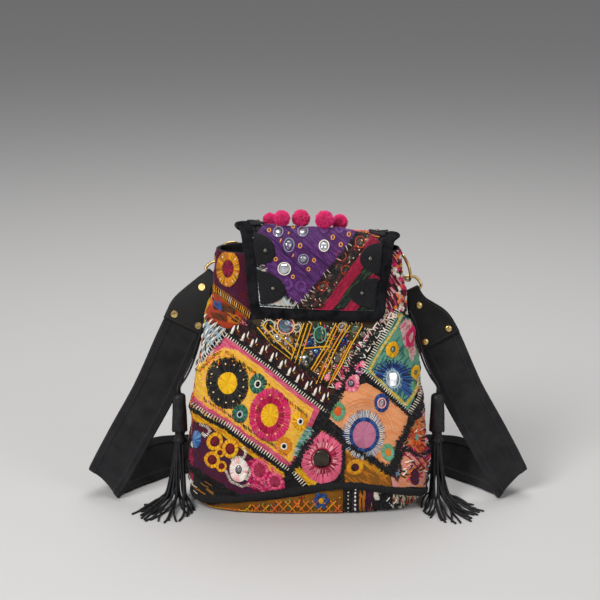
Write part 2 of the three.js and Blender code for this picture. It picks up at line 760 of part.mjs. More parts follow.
function strapHalf(side) {
  const { bar, down, across } = strapStart[side];
  const rows = STRAP_ROUTE.map(({ out, back, up, wx, wy, wz }) => ({
    point: new THREE.Vector3(
      side * (POUCH_WIDTH / 2 + out * STRAP_SPREAD),
      (back * POUCH_DEPTH) / 2,
      up * RING_HEIGHT,
    ),
    width: new THREE.Vector3(wx, side * wy, side * wz).normalize(),
  }));
  const lead = [0, 14].map((s) => ({ point: bar.clone().addScaledVector(down, s), width: across }));
  return [...lead, ...rows];
}

const middleRow = {
  point: new THREE.Vector3(0, 1.78 * POUCH_DEPTH / 2, 0.066 * RING_HEIGHT),
  width: new THREE.Vector3(0, 0.72, 0.7),
};
const rightHalf = strapHalf(1);
const leftHalf = strapHalf(-1).map(({ point, width }) => ({ point, width: width.clone().negate() }));
const route = [...rightHalf, middleRow, ...leftHalf.reverse()];
const strapLine = new THREE.CatmullRomCurve3(
  route.map(({ point }) => point), false, 'centripetal',
);
const strapTurn = new THREE.CatmullRomCurve3(
  route.map(({ width }) => width), false, 'catmullrom',
);
strapLine.arcLengthDivisions = 2000;
const STRAP_LENGTH = strapLine.getLength();

// A point beside the strap's middle line: s along it, w across it and n out of its face.
function strapPlace(s, w, n) {
  const inside = THREE.MathUtils.clamp(s, 0, STRAP_LENGTH);
  const t = strapLine.getUtoTmapping(inside / STRAP_LENGTH);
  const point = strapLine.getPoint(t);
  const along = strapLine.getTangent(t);
  const wide = strapTurn.getPoint(t);
  wide.addScaledVector(along, -wide.dot(along)).normalize();
  const face = new THREE.Vector3().crossVectors(wide, along).normalize();
  return point
    .addScaledVector(along, s - inside)
    .addScaledVector(wide, w)
    .addScaledVector(face, n);
}

const edge = STRAP_WIDTH / 2;
const full = STRAP_THICK / 2;
const STRAP_SECTION = [
  [-edge, -full * 0.7],
  [-edge + STRAP_HEM, -full],
  [-edge + STRAP_HEM + 1, -full * 0.74],
  [edge - STRAP_HEM - 1, -full * 0.74],
  [edge - STRAP_HEM, -full],
  [edge, -full * 0.7],
  [edge, full * 0.7],
  [edge - STRAP_HEM, full],
  [edge - STRAP_HEM - 1, full * 0.74],
  [-edge + STRAP_HEM + 1, full * 0.74],
  [-edge + STRAP_HEM, full],
  [-edge, full * 0.7],
];

const STRAP_TAPER = 46;
const strapShare = (s) => {
  const fromEnd = Math.min(s, STRAP_LENGTH - s);
  const neck = CHAPE_NECK / STRAP_WIDTH;
  return neck + (1 - neck) * THREE.MathUtils.smoothstep(fromEnd, 0, STRAP_TAPER);
};

// Sections lie closest together where the strap turns over on the floor.
const CHAPE_ROWS = 8;
const chapePlaces = steps(CHAPE_ROWS).slice(1).map((t) => CHAPE_LENGTH * t);
const BEND_FROM = 0.21;
const BEND_TO = 0.34;
const halfPlaces = [
  ...chapePlaces,
  ...steps(6).slice(1, -1).map((t) => CHAPE_LENGTH + (BEND_FROM * STRAP_LENGTH - CHAPE_LENGTH) * t),
  ...steps(13).map((t) => (BEND_FROM + (BEND_TO - BEND_FROM) * t) * STRAP_LENGTH),
  ...steps(5).slice(1, -1).map((t) => (BEND_TO + (0.5 - BEND_TO) * t) * STRAP_LENGTH),
];
const strapPlaces = [
  ...halfPlaces,
  STRAP_LENGTH / 2,
  ...halfPlaces.map((s) => STRAP_LENGTH - s).reverse(),
];
const strapLoops = strapPlaces.map((s) => {
  const loop = STRAP_SECTION.map(([w, n]) => strapPlace(s, w * strapShare(s), n));
  const lowest = Math.min(...loop.map((p) => p.z));
  const lift = Math.max(-lowest, 0);
  return loop.map((p) => p.setZ(p.z + lift));
});
add('strap', loft(strapLoops), canvas);

// The chapes: leather ends folded through the D-rings over the strap, with three rivets

const chapeWidth = (s) => STRAP_WIDTH * strapShare(Math.max(s, 0)) + 0.8;
const chapeLeaves = full + GAP * 1.6 + LEATHER / 2;
const RIVETS = [
  { along: 0.25, across: 0 },
  { along: 0.87, across: -0.31 },
  { along: 0.87, across: 0.31 },
];

for (const side of [1, -1]) {
  const hand = side < 0 ? 'left' : 'right';
  const place = side > 0 ? strapPlace : (s, w, n) => strapPlace(STRAP_LENGTH - s, w, n);
  const chape = hairpin(
    place, CHAPE_LENGTH, RING_WIRE, chapeLeaves, LEATHER, chapeWidth, CHAPE_ROWS,
    [-1, -0.5, 0, 0.5, 1],
  );
  add(`chape_${hand}`, chape, leather);
  RIVETS.forEach(({ along, across }, i) => {
    const s = along * CHAPE_LENGTH;
    const w = across * STRAP_WIDTH;
    const seat = place(s, w, chapeLeaves + LEATHER / 2 + GAP * 2);
    const normal = seat.clone().sub(place(s, w, 0)).normalize();
    const rivet = add(`rivet_${i + 1}_${hand}`, dome(RIVET_RADIUS, RIVET_RISE), brass);
    rivet.position.copy(seat);
    rivet.quaternion.copy(outOf(normal));
  });
}

// The drawstring's ends, which hang down the pouch's sides to the tassels

// Route of a cord from the side seam to its tassel, as a list chosen by hand: out is how
// far it lies beyond the pouch's side there, in millimetres, back and z its place.
const CORD_ROUTE = [
  { out: 3.2, back: 3.2, z: 198 },
  { out: 3.6, back: 3, z: 190 },
  { out: 3.8, back: 1.6, z: 180 },
  { out: 4.0, back: 0.2, z: 168 },
  { out: 5.0, back: -1.4, z: 155 },
  { out: 7.0, back: -3.2, z: 142 },
  { out: 9.6, back: -4.8, z: 131 },
];

const tasselX = section(TASSEL_TOP).wide + TASSEL_HEAD_RADIUS + 4.4;
const tasselY = -6.6;

function cordCurve(side) {
  const points = CORD_ROUTE.map(
    ({ out, back, z }) =>
      new THREE.Vector3(pouchPoint(side / 4, z, 0).x + side * out, back, z),
  );
  for (const above of [8, 0]) {
    points.push(new THREE.Vector3(side * tasselX, tasselY, TASSEL_TOP + GAP * 1.5 + above));
  }
  return new THREE.CatmullRomCurve3(points, false, 'centripetal');
}

function cordTube(side) {
  const rim = Array.from({ length: 8 }, (_, i) => {
    const angle = (2 * Math.PI * i) / 8;
    const radius = CORD_DIAMETER / 2;
    return new THREE.Vector2(radius * Math.cos(angle), radius * Math.sin(angle));
  });
  return stripped(
    new THREE.ExtrudeGeometry(new THREE.Shape(rim), {
      steps: 13, extrudePath: cordCurve(side), curveSegments: 1,
    }),
  );
}

// A tassel: a wrapped head, a tied neck and locks that fall and lie out on the floor

const TASSEL_PROFILE = [
  { r: 0, z: 0 },
  { r: 0.62, z: 0 },
  { r: 0.8, z: -0.06 },
  { r: 1.0, z: -0.55 },
  { r: 1.02, z: -0.96 },
  { r: 0.72, z: -1.04 },
  { r: 0.62, z: -1.2 },
  { r: 0.78, z: -1.3 },
  { r: 0, z: -1.3 },
];

const LOCK_SIDES = 5;

function lock(side, { aim, run, lift }) {
  const angle = THREE.MathUtils.degToRad(aim);
  const heading = new THREE.Vector3(side * Math.sin(angle), -Math.cos(angle), 0);
  const neck = new THREE.Vector3(side * tasselX, tasselY, 0);
  const neckHeight = TASSEL_TOP - TASSEL_HEAD_LENGTH * 1.24;
  const far = run * FRINGE_REACH;
  const points = [
    [0.02, neckHeight],
    [0.06 * lift + 0.04, neckHeight * 0.66],
    [0.2 * lift + 0.08, neckHeight * 0.34],
    [0.34, neckHeight * 0.14],
    [0.62, LOCK_RADIUS],
    [1, LOCK_RADIUS * 0.7],
  ].map(([share, z]) => neck.clone().addScaledVector(heading, share * far).setZ(z));
  const curve = new THREE.CatmullRomCurve3(points, false, 'centripetal');
  const sides = Array.from({ length: LOCK_SIDES }, (_, i) => (2 * Math.PI * i) / LOCK_SIDES);
  const cross = new THREE.Vector3().crossVectors(heading, new THREE.Vector3(0, 0, 1));
  return loft(
    steps(6).map((t) => {
      const centre = curve.getPointAt(t);
      const out = new THREE.Vector3().crossVectors(cross, curve.getTangentAt(t)).normalize();
      const radius = LOCK_RADIUS * (0.72 + 0.28 * Math.sin(Math.PI * Math.min(t * 1.15, 1)));
      return sides.map((a) => {
        const p = centre.clone().addScaledVector(cross, radius * Math.cos(a));
        p.addScaledVector(out, radius * Math.sin(a));
        return p.setZ(Math.max(p.z, 0));
      });
    }),
  );
}

function tassel(side) {
  const outline = TASSEL_PROFILE.map(
    ({ r, z }) => new THREE.Vector2(r * TASSEL_HEAD_RADIUS, z * TASSEL_HEAD_LENGTH),
  ).reverse();
  const head = stripped(new THREE.LatheGeometry(outline, 12));
  head.rotateX(Math.PI / 2);
  head.translate(side * tasselX, tasselY, TASSEL_TOP);
  return fuse([
    facingOut(mergeVertices(head, 1e-4)),
    ...FRINGE_LOCKS.map((row) => lock(side, row)),
  ]);
}

for (const side of [-1, 1]) {
  const hand = side < 0 ? 'left' : 'right';
  add(`tassel_cord_${hand}`, cordTube(side), waxedCord);
  add(`tassel_${hand}`, tassel(side), waxedCord);
}

export default bag;
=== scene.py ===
import math
import random

import bmesh
import bpy
import numpy as np
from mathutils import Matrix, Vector


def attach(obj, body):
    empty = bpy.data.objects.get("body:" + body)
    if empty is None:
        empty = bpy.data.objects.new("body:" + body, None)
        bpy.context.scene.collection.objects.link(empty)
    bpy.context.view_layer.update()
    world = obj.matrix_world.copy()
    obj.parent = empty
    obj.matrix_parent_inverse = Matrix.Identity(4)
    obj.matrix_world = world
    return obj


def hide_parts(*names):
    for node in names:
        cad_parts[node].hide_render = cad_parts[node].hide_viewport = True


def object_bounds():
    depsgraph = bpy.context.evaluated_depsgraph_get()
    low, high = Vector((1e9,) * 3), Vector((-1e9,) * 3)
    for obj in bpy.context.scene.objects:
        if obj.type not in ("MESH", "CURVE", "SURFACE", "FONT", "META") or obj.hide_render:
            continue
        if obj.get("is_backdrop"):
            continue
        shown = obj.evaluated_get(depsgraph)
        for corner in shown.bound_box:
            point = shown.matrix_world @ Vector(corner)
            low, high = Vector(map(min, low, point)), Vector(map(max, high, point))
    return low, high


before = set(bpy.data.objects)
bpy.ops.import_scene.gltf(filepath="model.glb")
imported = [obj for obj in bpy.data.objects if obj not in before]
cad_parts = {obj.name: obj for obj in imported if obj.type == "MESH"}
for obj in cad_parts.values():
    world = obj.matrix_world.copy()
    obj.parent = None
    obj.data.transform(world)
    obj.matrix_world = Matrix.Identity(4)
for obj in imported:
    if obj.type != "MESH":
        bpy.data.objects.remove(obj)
cad_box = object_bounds()

# The camera stands at the photograph's place: 15 degrees above the floor and
# 1.8 m from the bag, so that one pixel of the 600 pixel picture is one millimetre.

AIM = np.array([-8.5, 0.0, 209.93])
DISTANCE = 1800.0
ELEVATION = math.radians(15)
EYE = AIM + DISTANCE * np.array([0.0, -math.cos(ELEVATION), math.sin(ELEVATION)])
LOOK = (AIM - EYE) / DISTANCE
UPWARD = np.array([0.0, math.sin(ELEVATION), math.cos(ELEVATION)])

camera = bpy.data.objects.new("camera", bpy.data.cameras.new("camera"))
camera.data.sensor_width = 36.0
camera.data.lens = 36.0 * DISTANCE / 600
camera.data.clip_end = 20.0
camera.location = EYE / 1000
camera.rotation_euler = (math.radians(90) - ELEVATION, 0.0, 0.0)
bpy.context.scene.collection.objects.link(camera)
bpy.context.scene.camera = camera


def project(points):
    """Pixels of the photograph where points in millimetres show."""
    ahead = points - EYE
    depth = ahead @ LOOK
    px = 300 + DISTANCE * ahead[..., 0] / depth
    py = 300 - DISTANCE * (ahead @ UPWARD) / depth
    return px, py


def unproject(px, py, y):
    """The x and z at which the ray of a pixel meets the upright plane at that y."""
    right, up = (px - 300) / DISTANCE, (300 - py) / DISTANCE
    ray_y = LOOK[1] + up * UPWARD[1]
    ray_z = LOOK[2] + up * UPWARD[2]
    run = (y - EYE[1]) / ray_y
    return EYE[0] + run * right, EYE[2] + run * ray_z


# Finishes are built from nodes. A wire stands for one socket, and sums of wires
# and numbers add their own Math nodes.


class Wire:
    def __init__(self, finish, socket):
        self.finish, self.socket = finish, socket

    def sum(self, operation, a, b):
        return self.finish.node("Math", {"operation": operation}, {0: a, 1: b})

    def __add__(self, other):
        return self.sum("ADD", self, other)

    def __radd__(self, other):
        return self.sum("ADD", other, self)

    def __sub__(self, other):
        return self.sum("SUBTRACT", self, other)

    def __rsub__(self, other):
        return self.sum("SUBTRACT", other, self)

    def __mul__(self, other):
        return self.sum("MULTIPLY", self, other)

    def __rmul__(self, other):
        return self.sum("MULTIPLY", other, self)

    def __pow__(self, other):
        return self.sum("POWER", self, other)


class Finish:
    """A material that is being put together."""

    def __init__(self, name, **shader):
        self.material = bpy.data.materials.new(name)
        self.material.use_nodes = True
        self.tree = self.material.node_tree
        self.shader = self.tree.nodes["Principled BSDF"]
        self.give(**shader)

    def node(self, kind, settings=None, sockets=None, output=0):
        made = self.tree.nodes.new("ShaderNode" + kind)
        for key, value in (settings or {}).items():
            if key == "stops":
                ramp = made.color_ramp
                while len(ramp.elements) < len(value):
                    ramp.elements.new(0.5)
                for element, (place, colour) in zip(ramp.elements, value):
                    element.position, element.color = place, (*colour, 1)
            else:
                setattr(made, key, value)
        for key, value in (sockets or {}).items():
            self.join(value, made.inputs[key])
        return Wire(self, made.outputs[output])

    def join(self, value, socket):
        if isinstance(value, Wire):
            self.tree.links.new(value.socket, socket)
        elif isinstance(value, tuple) and len(value) == 3 and socket.type == "RGBA":
            socket.default_value = (*value, 1)
        else:
            socket.default_value = value

    def give(self, **shader):
        """Sets the shader's sockets, such as base_color or sheen_weight."""
        for key, value in shader.items():
            name = key.replace("_", " ").title().replace("Ior", "IOR")
            self.join(value, self.shader.inputs[name])

    def place(self, source="Object"):
        return self.node("TexCoord", output={"Object": 3, "UV": 2}[source])

    def attribute(self, name):
        return self.node("Attribute", {"attribute_name": name})

    def wave(self, where, direction, scale, distortion=0.0):
        inputs = {"Vector": where, "Scale": scale, "Distortion": distortion}
        return self.node("TexWave", {"bands_direction": direction}, inputs)

    def noise(self, vector, scale, detail, roughness=0.5):
        sockets = {"Vector": vector, "Scale": scale, "Detail": detail, "Roughness": roughness}
        return self.node("TexNoise", {}, sockets)

    def ramp(self, factor, *stops):
        return self.node("ValToRGB", {"stops": stops}, {0: factor})

    def level(self, factor, low, high, to_low, to_high):
        sockets = {0: factor, 1: low, 2: high, 3: to_low, 4: to_high}
        return self.node("MapRange", {}, sockets)

    def mix(self, factor, a, b, blend):
        settings = {"data_type": "RGBA", "blend_type": blend}
        return self.node("Mix", settings, {0: factor, 6: a, 7: b}, 2)

    def bump(self, height, strength, distance, normal=None):
        sockets = {"Height": height, "Strength": strength, "Distance": distance}
        if normal:
            sockets["Normal"] = normal
        return self.node("Bump", {}, sockets)


# The floor is a plain pale flat sheet and the light is soft, from three large panels.

stage_finish = Finish("studio floor", base_color=(0.52, 0.51, 0.5), roughness=0.8)
floor_bm = bmesh.new()
bmesh.ops.create_grid(floor_bm, x_segments=2, y_segments=2, size=6.0)
floor_mesh = bpy.data.meshes.new("studio_floor")
floor_bm.to_mesh(floor_mesh)
floor_mesh.materials.append(stage_finish.material)
floor = bpy.data.objects.new("studio_floor", floor_mesh)
bpy.context.scene.collection.objects.link(floor)
floor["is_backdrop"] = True

world = bpy.data.worlds.new("studio")
world.use_nodes = True
world.node_tree.nodes["Background"].inputs["Color"].default_value = (0.86, 0.87, 0.9, 1)
world.node_tree.nodes["Background"].inputs["Strength"].default_value = 0.3
bpy.context.scene.world = world
bpy.context.scene.view_settings.view_transform = "Standard"

PANELS = [
    {"name": "key", "at": (-1.1, -1.4, 1.5), "size": 0.9, "power": 40},
    {"name": "fill", "at": (1.5, -1.2, 0.9), "size": 1.2, "power": 12},
    {"name": "top", "at": (0.1, 0.7, 1.9), "size": 1.2, "power": 22},
]
for panel in PANELS:
    light = bpy.data.lights.new(panel["name"], "AREA")
    light.size, light.energy = panel["size"], panel["power"]
    lamp = bpy.data.objects.new(panel["name"], light)
    lamp.location = panel["at"]
    aim = Vector((0, 0, 0.14)) - lamp.location
    lamp.rotation_euler = aim.to_track_quat("-Z", "Y").to_euler()
    bpy.context.scene.collection.objects.link(lamp)


# The drawstring's ends: two thin waxed cotton cords side by side leave each side
# seam, hang down the pouch and run through a wrapped head into a fringe.

POUCH_WIDTH = 240.0
POUCH_DEPTH = 108.0
MOUTH_HEIGHT = 264.0
TASSEL_TOP = 113.0
TASSEL_X = 138.0 - 7.6 + 0.2
TASSEL_Y = -6.6
CORD_WIDTH = 4.6
CORD_ROUTE = [
    (101.4, 3.2, 198), (104.6, 3, 190), (107.4, 1.6, 180), (110.0, 0.2, 168),
    (114.0, -1.4, 155), (119.0, -3.2, 142), (124.6, -4.8, 131),
]


def through(points, count, kind="centripetal"):
    """Evenly counted points of a smooth line through the given ones."""
    points = np.array(points, dtype=float)
    first, last = 2 * points[0] - points[1], 2 * points[-1] - points[-2]
    padded = np.vstack([first, points, last])
    place = np.linspace(0, len(points) - 1, count)
    i = np.minimum(place.astype(int), len(points) - 2)
    t = (place - i)[:, None]
    p0, p1, p2, p3 = (padded[i + k] for k in range(4))
    if kind == "centripetal":
        d0, d1, d2 = (
            np.maximum(np.linalg.norm(b - a, axis=1), 1e-6)[:, None] ** 0.5
            for a, b in ((p0, p1), (p1, p2), (p2, p3))
        )
        m1 = d1 * ((p1 - p0) / d0 - (p2 - p0) / (d0 + d1) + (p2 - p1) / d1)
        m2 = d1 * ((p2 - p1) / d1 - (p3 - p1) / (d1 + d2) + (p3 - p2) / d2)
    else:
        m1, m2 = (p2 - p0) / 2, (p3 - p1) / 2
    a = -3 * p1 + 3 * p2 - 2 * m1 - m2
    b = 2 * p1 - 2 * p2 + m1 + m2
    return p1 + m1 * t + a * t**2 + b * t**3


def mm(points):
    return np.asarray(points, dtype=float) / 1000


def threads(name, lines, sides=8):
    """One mesh of many round threads. A line is its points, its radius or radii in
    millimetres, and its dye, which may be left out."""
    dyes = sorted({line.get("dye", (0, 0, 0)) for line in lines})
    curve = bpy.data.curves.new(name, "CURVE")
    curve.dimensions = "3D"
    curve.bevel_mode = "ROUND"
    curve.bevel_depth = 0.001
    curve.bevel_resolution = (sides - 4) // 2
    curve.use_fill_caps = True
    for _ in dyes:
        curve.materials.append(None)
    for line in lines:
        points = mm(line["points"])
        spline = curve.splines.new("POLY")
        spline.points.add(len(points) - 1)
        flat = np.hstack([points, np.ones((len(points), 1))])
        spline.points.foreach_set("co", flat.ravel())
        radii = np.broadcast_to(np.asarray(line["radius"], dtype=float), len(points))
        spline.points.foreach_set("radius", np.ascontiguousarray(radii))
        spline.use_smooth = True
        spline.material_index = dyes.index(line.get("dye", (0, 0, 0)))
    carrier = bpy.data.objects.new(name, curve)
    bpy.context.scene.collection.objects.link(carrier)
    depsgraph = bpy.context.evaluated_depsgraph_get()
    mesh = bpy.data.meshes.new_from_object(carrier.evaluated_get(depsgraph))
    bpy.data.objects.remove(carrier)
    mesh.name = name
    of_face = np.zeros(len(mesh.polygons), dtype=np.int32)
    corners = np.zeros(len(mesh.polygons), dtype=np.int32)
    mesh.polygons.foreach_get("material_index", of_face)
    mesh.polygons.foreach_get("loop_total", corners)
    paint(mesh, np.array(dyes)[of_face], corners)
    return mesh


def paint(mesh, dyes, corners):
    """Keeps one colour for each face in the mesh's dye attribute."""
    layer = mesh.color_attributes.new("dye", "FLOAT_COLOR", "CORNER")
    colours = np.repeat(np.hstack([dyes, np.ones((len(dyes), 1))]), corners, axis=0)
    layer.data.foreach_set("color", colours.ravel())
    mesh.polygons.foreach_set("material_index", np.zeros(len(mesh.polygons), dtype=np.int32))


def put(name, mesh, finish, slot, *nodes):
    """Shows a finished mesh as a piece that stands for those nodes of the frame."""
    if finish:
        mesh.materials.clear()
        mesh.materials.append(finish.material)
    piece = bpy.data.objects.new(name, mesh)
    bpy.context.scene.collection.objects.link(piece)
    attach(piece, "root")
    if nodes:
        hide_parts(*nodes)
    return piece


cord_finish = Finish("waxed cord", roughness=0.5, specular_ior_level=0.25)
cord_place = cord_finish.place()
cord_wear = cord_finish.noise(cord_place, 260, 3)
cord_finish.give(
    base_color=cord_finish.ramp(cord_wear, (0.3, (0.006, 0.006, 0.007)), (0.75, (0.02, 0.02, 0.022))),
    normal=cord_finish.bump(cord_finish.noise(cord_place, 900, 2), 0.4, 0.0003),
)

HEAD_LENGTH = 38.0
HEAD_RADIUS = 7.4
HEAD_START = (0.3, 0.6)
HEAD_SHAPE = [
    (0.62, 0.4), (0.82, -0.8), (0.9, -4), (0.92, -10), (0.97, -18), (1.02, -26), (1.05, -32),
    (1.08, -36.5), (1.0, -38.4), (0.74, -39.2), (0.66, -41), (0.7, -43), (0.62, -45),
    (0.8, -47), (0.9, -50), (0.5, -52), (0.05, -52.4),
]
NECK_Z = TASSEL_TOP - HEAD_LENGTH * 1.18
STRANDS = 27
STRAND_RADIUS = 1.05
FRINGE_REACH = 70.0

for side, hand in ((-1, "left"), (1, "right")):
    chance = random.Random(7 + side)
    hang = [(side * x, y, z) for x, y, z in CORD_ROUTE]
    hang += [(side * TASSEL_X, TASSEL_Y, TASSEL_TOP + above) for above in (8.4, 0.4, -20, -44, -70)]
    rest = [(6, -14, 14), (16, -30, 3.2), (26, -44, 2.4)]
    hang += [(side * (TASSEL_X + x), TASSEL_Y + y, z) for x, y, z in rest]
    middle = through(hang, 90)
    along = np.gradient(middle, axis=0)
    along /= np.linalg.norm(along, axis=1)[:, None]
    beside = np.cross(along, [0.0, 0.0, 1.0])
    beside = np.where(np.linalg.norm(beside, axis=1)[:, None] < 0.2, [side, 0.0, 0.0], beside)
    beside /= np.linalg.norm(beside, axis=1)[:, None]
    apart = CORD_WIDTH / 2 - STRAND_RADIUS
    turning = np.linspace(0, 4.4, len(middle))[:, None]
    around = np.cos(turning) * beside + np.sin(turning) * np.cross(along, beside)
    pair = [
        {"points": middle + k * apart * around, "radius": STRAND_RADIUS}
        for k in (-1, 1)
    ]
    for line in pair:
        line["points"][:, 2] = np.maximum(line["points"][:, 2], STRAND_RADIUS)
    cord_mesh = threads(f"drawstring_{hand}", pair)
    cord = put(f"drawstring_{hand}", cord_mesh, cord_finish, "cord", f"tassel_cord_{hand}")

    # The head: cloth wound round the strands, bulging below and tied at its neck
    head_bm = bmesh.new()
    ring = bmesh.ops.create_circle(head_bm, segments=40, radius=HEAD_START[0])["verts"]
    bmesh.ops.translate(head_bm, verts=ring, vec=(0, 0, HEAD_START[1]))
    edges = head_bm.edges[:]
    size_before, height_before = HEAD_START
    for share, height in HEAD_SHAPE:
        grown = bmesh.ops.extrude_edge_only(head_bm, edges=edges)["geom"]
        verts = [v for v in grown if isinstance(v, bmesh.types.BMVert)]
        edges = [e for e in grown if isinstance(e, bmesh.types.BMEdge)]
        scale = share * HEAD_RADIUS / size_before
        bmesh.ops.scale(head_bm, verts=verts, vec=(scale, scale, 1))
        bmesh.ops.translate(head_bm, verts=verts, vec=(0, 0, height - height_before))
        size_before, height_before = share * HEAD_RADIUS, height
    bmesh.ops.holes_fill(head_bm, edges=head_bm.edges, sides=0)
    for vert in head_bm.verts:
        angle, z = math.atan2(vert.co.y, vert.co.x), vert.co.z
        fold = 0.35 * math.sin(5 * angle + z * 0.23) + 0.22 * math.sin(11 * angle - z * 0.4)
        jag = 1.4 * math.sin(9 * angle + side) if -38.5 < z < -36 else 0.0
        swell = 1 + 0.05 * fold
        vert.co.x *= swell
        vert.co.y *= swell
        vert.co.z += jag
    bmesh.ops.recalc_face_normals(head_bm, faces=head_bm.faces)
    bmesh.ops.translate(head_bm, verts=head_bm.verts, vec=(side * TASSEL_X, TASSEL_Y, TASSEL_TOP))
    bmesh.ops.scale(head_bm, verts=head_bm.verts, vec=(0.001, 0.001, 0.001))
    for face in head_bm.faces:
        face.smooth = True
    head_mesh = bpy.data.meshes.new(f"tassel_head_{hand}")
    head_bm.to_mesh(head_mesh)
    head = put(f"tassel_head_{hand}", head_mesh, cord_finish, "cord", f"tassel_{hand}")

    # The fringe: round waxed strands that fall from the neck and fan out on the floor
    strands = []
    for k in range(STRANDS):
        share = (k + 0.5) / STRANDS
        aim = math.radians(-32 + 108 * share + chance.uniform(-5, 5))
        swing = math.sin(math.pi * min(max(share * 1.06, 0), 1))
        reach = FRINGE_REACH * (0.42 + 0.58 * swing ** 0.7) * chance.uniform(0.86, 1.02)
        if aim < math.radians(-12):
            reach = min(reach, 30 + 0.9 * math.degrees(aim + math.radians(32)))
        heading = np.array([side * math.sin(aim), -math.cos(aim), 0.0])
        cross = np.array([-heading[1], heading[0], 0.0])
        root = np.array([side * TASSEL_X, TASSEL_Y, 0.0])
        start = chance.uniform(0, 2 * math.pi)
        spread = 3.4 * np.array([math.cos(start), math.sin(start), 0.0])
        stack = STRAND_RADIUS * (1 + 2.0 * chance.choice([0, 0, 0, 1, 1, 2]))
        bow = chance.uniform(-5, 5)
        knee = chance.uniform(0.28, 0.46)
        stations = [
            (0.0, NECK_Z + 2, 0.0), (0.03, NECK_Z - 8, 0.1), (0.09, NECK_Z * 0.66, 0.2),
            (0.18 * (0.6 + knee), NECK_Z * 0.38, 0.5), (knee * 0.8, NECK_Z * 0.14, 0.7),
            (knee + 0.12, stack + 3.4, 0.9), (knee + 0.32, stack + 0.4, 1.0),
            (0.88, STRAND_RADIUS * 1.1, 0.5), (1.0, STRAND_RADIUS, 0.0),
        ]
        points = [
            root + heading * (share * reach) + cross * (bow * curve) + spread * (1 - share) ** 3
            + np.array([0, 0, z])
            for share, z, curve in stations
        ]
        strands.append({"points": through(points, 40), "radius": STRAND_RADIUS})
    for line in strands:
        line["points"][:, 2] = np.maximum(line["points"][:, 2], STRAND_RADIUS)
    fringe_mesh = threads(f"tassel_fringe_{hand}", strands)
    fringe = put(f"tassel_fringe_{hand}", fringe_mesh, cord_finish, "cord", f"tassel_{hand}")
    steps_along = np.linalg.norm(np.diff(middle, axis=0), axis=1)
    tuple(mm(middle[0]))
    float(steps_along.sum()) / 1000
    [tuple(p) for p in mm(middle)]


# The pouch: a soft stuffed shell of quilted patchwork, boxy below and narrower at
# its mouth, cut from patches that are laid on black cotton and sewn down.

CLOTH = 2.4
SECTION_UP = [0.0, 0.015, 0.04, 0.08, 0.2, 0.35, 0.45, 0.6, 0.75, 0.88, 1.0]
SECTION_WIDE = [0.83, 0.9, 0.965, 0.995, 1.0, 0.985, 0.965, 0.9, 0.825, 0.775, 0.75]
SECTION_DEEP = [0.78, 0.87, 0.94, 0.985, 1.0, 0.99, 0.95, 0.86, 0.73, 0.6, 0.5]
SECTION_SQUARE = [3.3, 3.3, 3.3, 3.3, 3.2, 3.1, 3.0, 2.9, 2.8, 2.7, 2.6]
DENTS = [
    {"turn": 0.0, "up": 0.32, "across": 0.1, "tall": 0.16, "swell": 0.028},
    {"turn": 0.1, "up": 0.58, "across": 0.05, "tall": 0.1, "swell": -0.014},
    {"turn": -0.12, "up": 0.5, "across": 0.05, "tall": 0.12, "swell": -0.018},
    {"turn": 0.14, "up": 0.2, "across": 0.04, "tall": 0.09, "swell": 0.012},
    {"turn": -0.05, "up": 0.14, "across": 0.05, "tall": 0.05, "swell": -0.01},
    {"turn": 0.25, "up": 0.45, "across": 0.05, "tall": 0.2, "swell": -0.03},
    {"turn": -0.25, "up": 0.42, "across": 0.05, "tall": 0.2, "swell": -0.026},
    {"turn": 0.5, "up": 0.35, "across": 0.12, "tall": 0.2, "swell": 0.014},
]
SEAM_HEIGHT = 34.0
SEAM_TURN = [-0.5, -0.36, -0.25, -0.17, -0.09, -0.03, 0.03, 0.06, 0.09, 0.15, 0.21, 0.25, 0.36, 0.5]
SEAM_UP = [0.58, 0.5, 0.36, 0.42, 0.62, 0.78, 0.94, 1.0, 0.94, 0.74, 0.48, 0.42, 0.5, 0.58]
BACK_SEAM = 0.38
LOWEST_STITCH = 3.5


def smooth(places, values, at):
    """A smooth curve through a table's values, as wide as the places given."""
    places, values = np.array(places, dtype=float), np.array(values, dtype=float)
    at = np.clip(at, places[0], places[-1])
    last = len(places) - 1
    i = np.clip(np.searchsorted(places, at, side="right") - 1, 0, last - 1)
    before, after = np.maximum(i - 1, 0), np.minimum(i + 2, last)
    step = places[i + 1] - places[i]
    t = (at - places[i]) / step
    ease = t * t * (3 - 2 * t)
    slope_in = (values[i + 1] - values[before]) / (places[i + 1] - places[before])
    slope_out = (values[after] - values[i]) / (places[after] - places[i])
    rise = slope_in * step * t * (1 - t) ** 2 - slope_out * step * t * t * (1 - t)
    return values[i] * (1 - ease) + values[i + 1] * ease + rise


def section(z):
    up = np.asarray(z, dtype=float) / MOUTH_HEIGHT
    wide = POUCH_WIDTH / 2 * smooth(SECTION_UP, SECTION_WIDE, up)
    deep = POUCH_DEPTH / 2 * smooth(SECTION_UP, SECTION_DEEP, up)
    return wide, deep, smooth(SECTION_UP, SECTION_SQUARE, up)


def seam_at(turn):
    return SEAM_HEIGHT * smooth(SEAM_TURN, SEAM_UP, turn - np.round(turn))


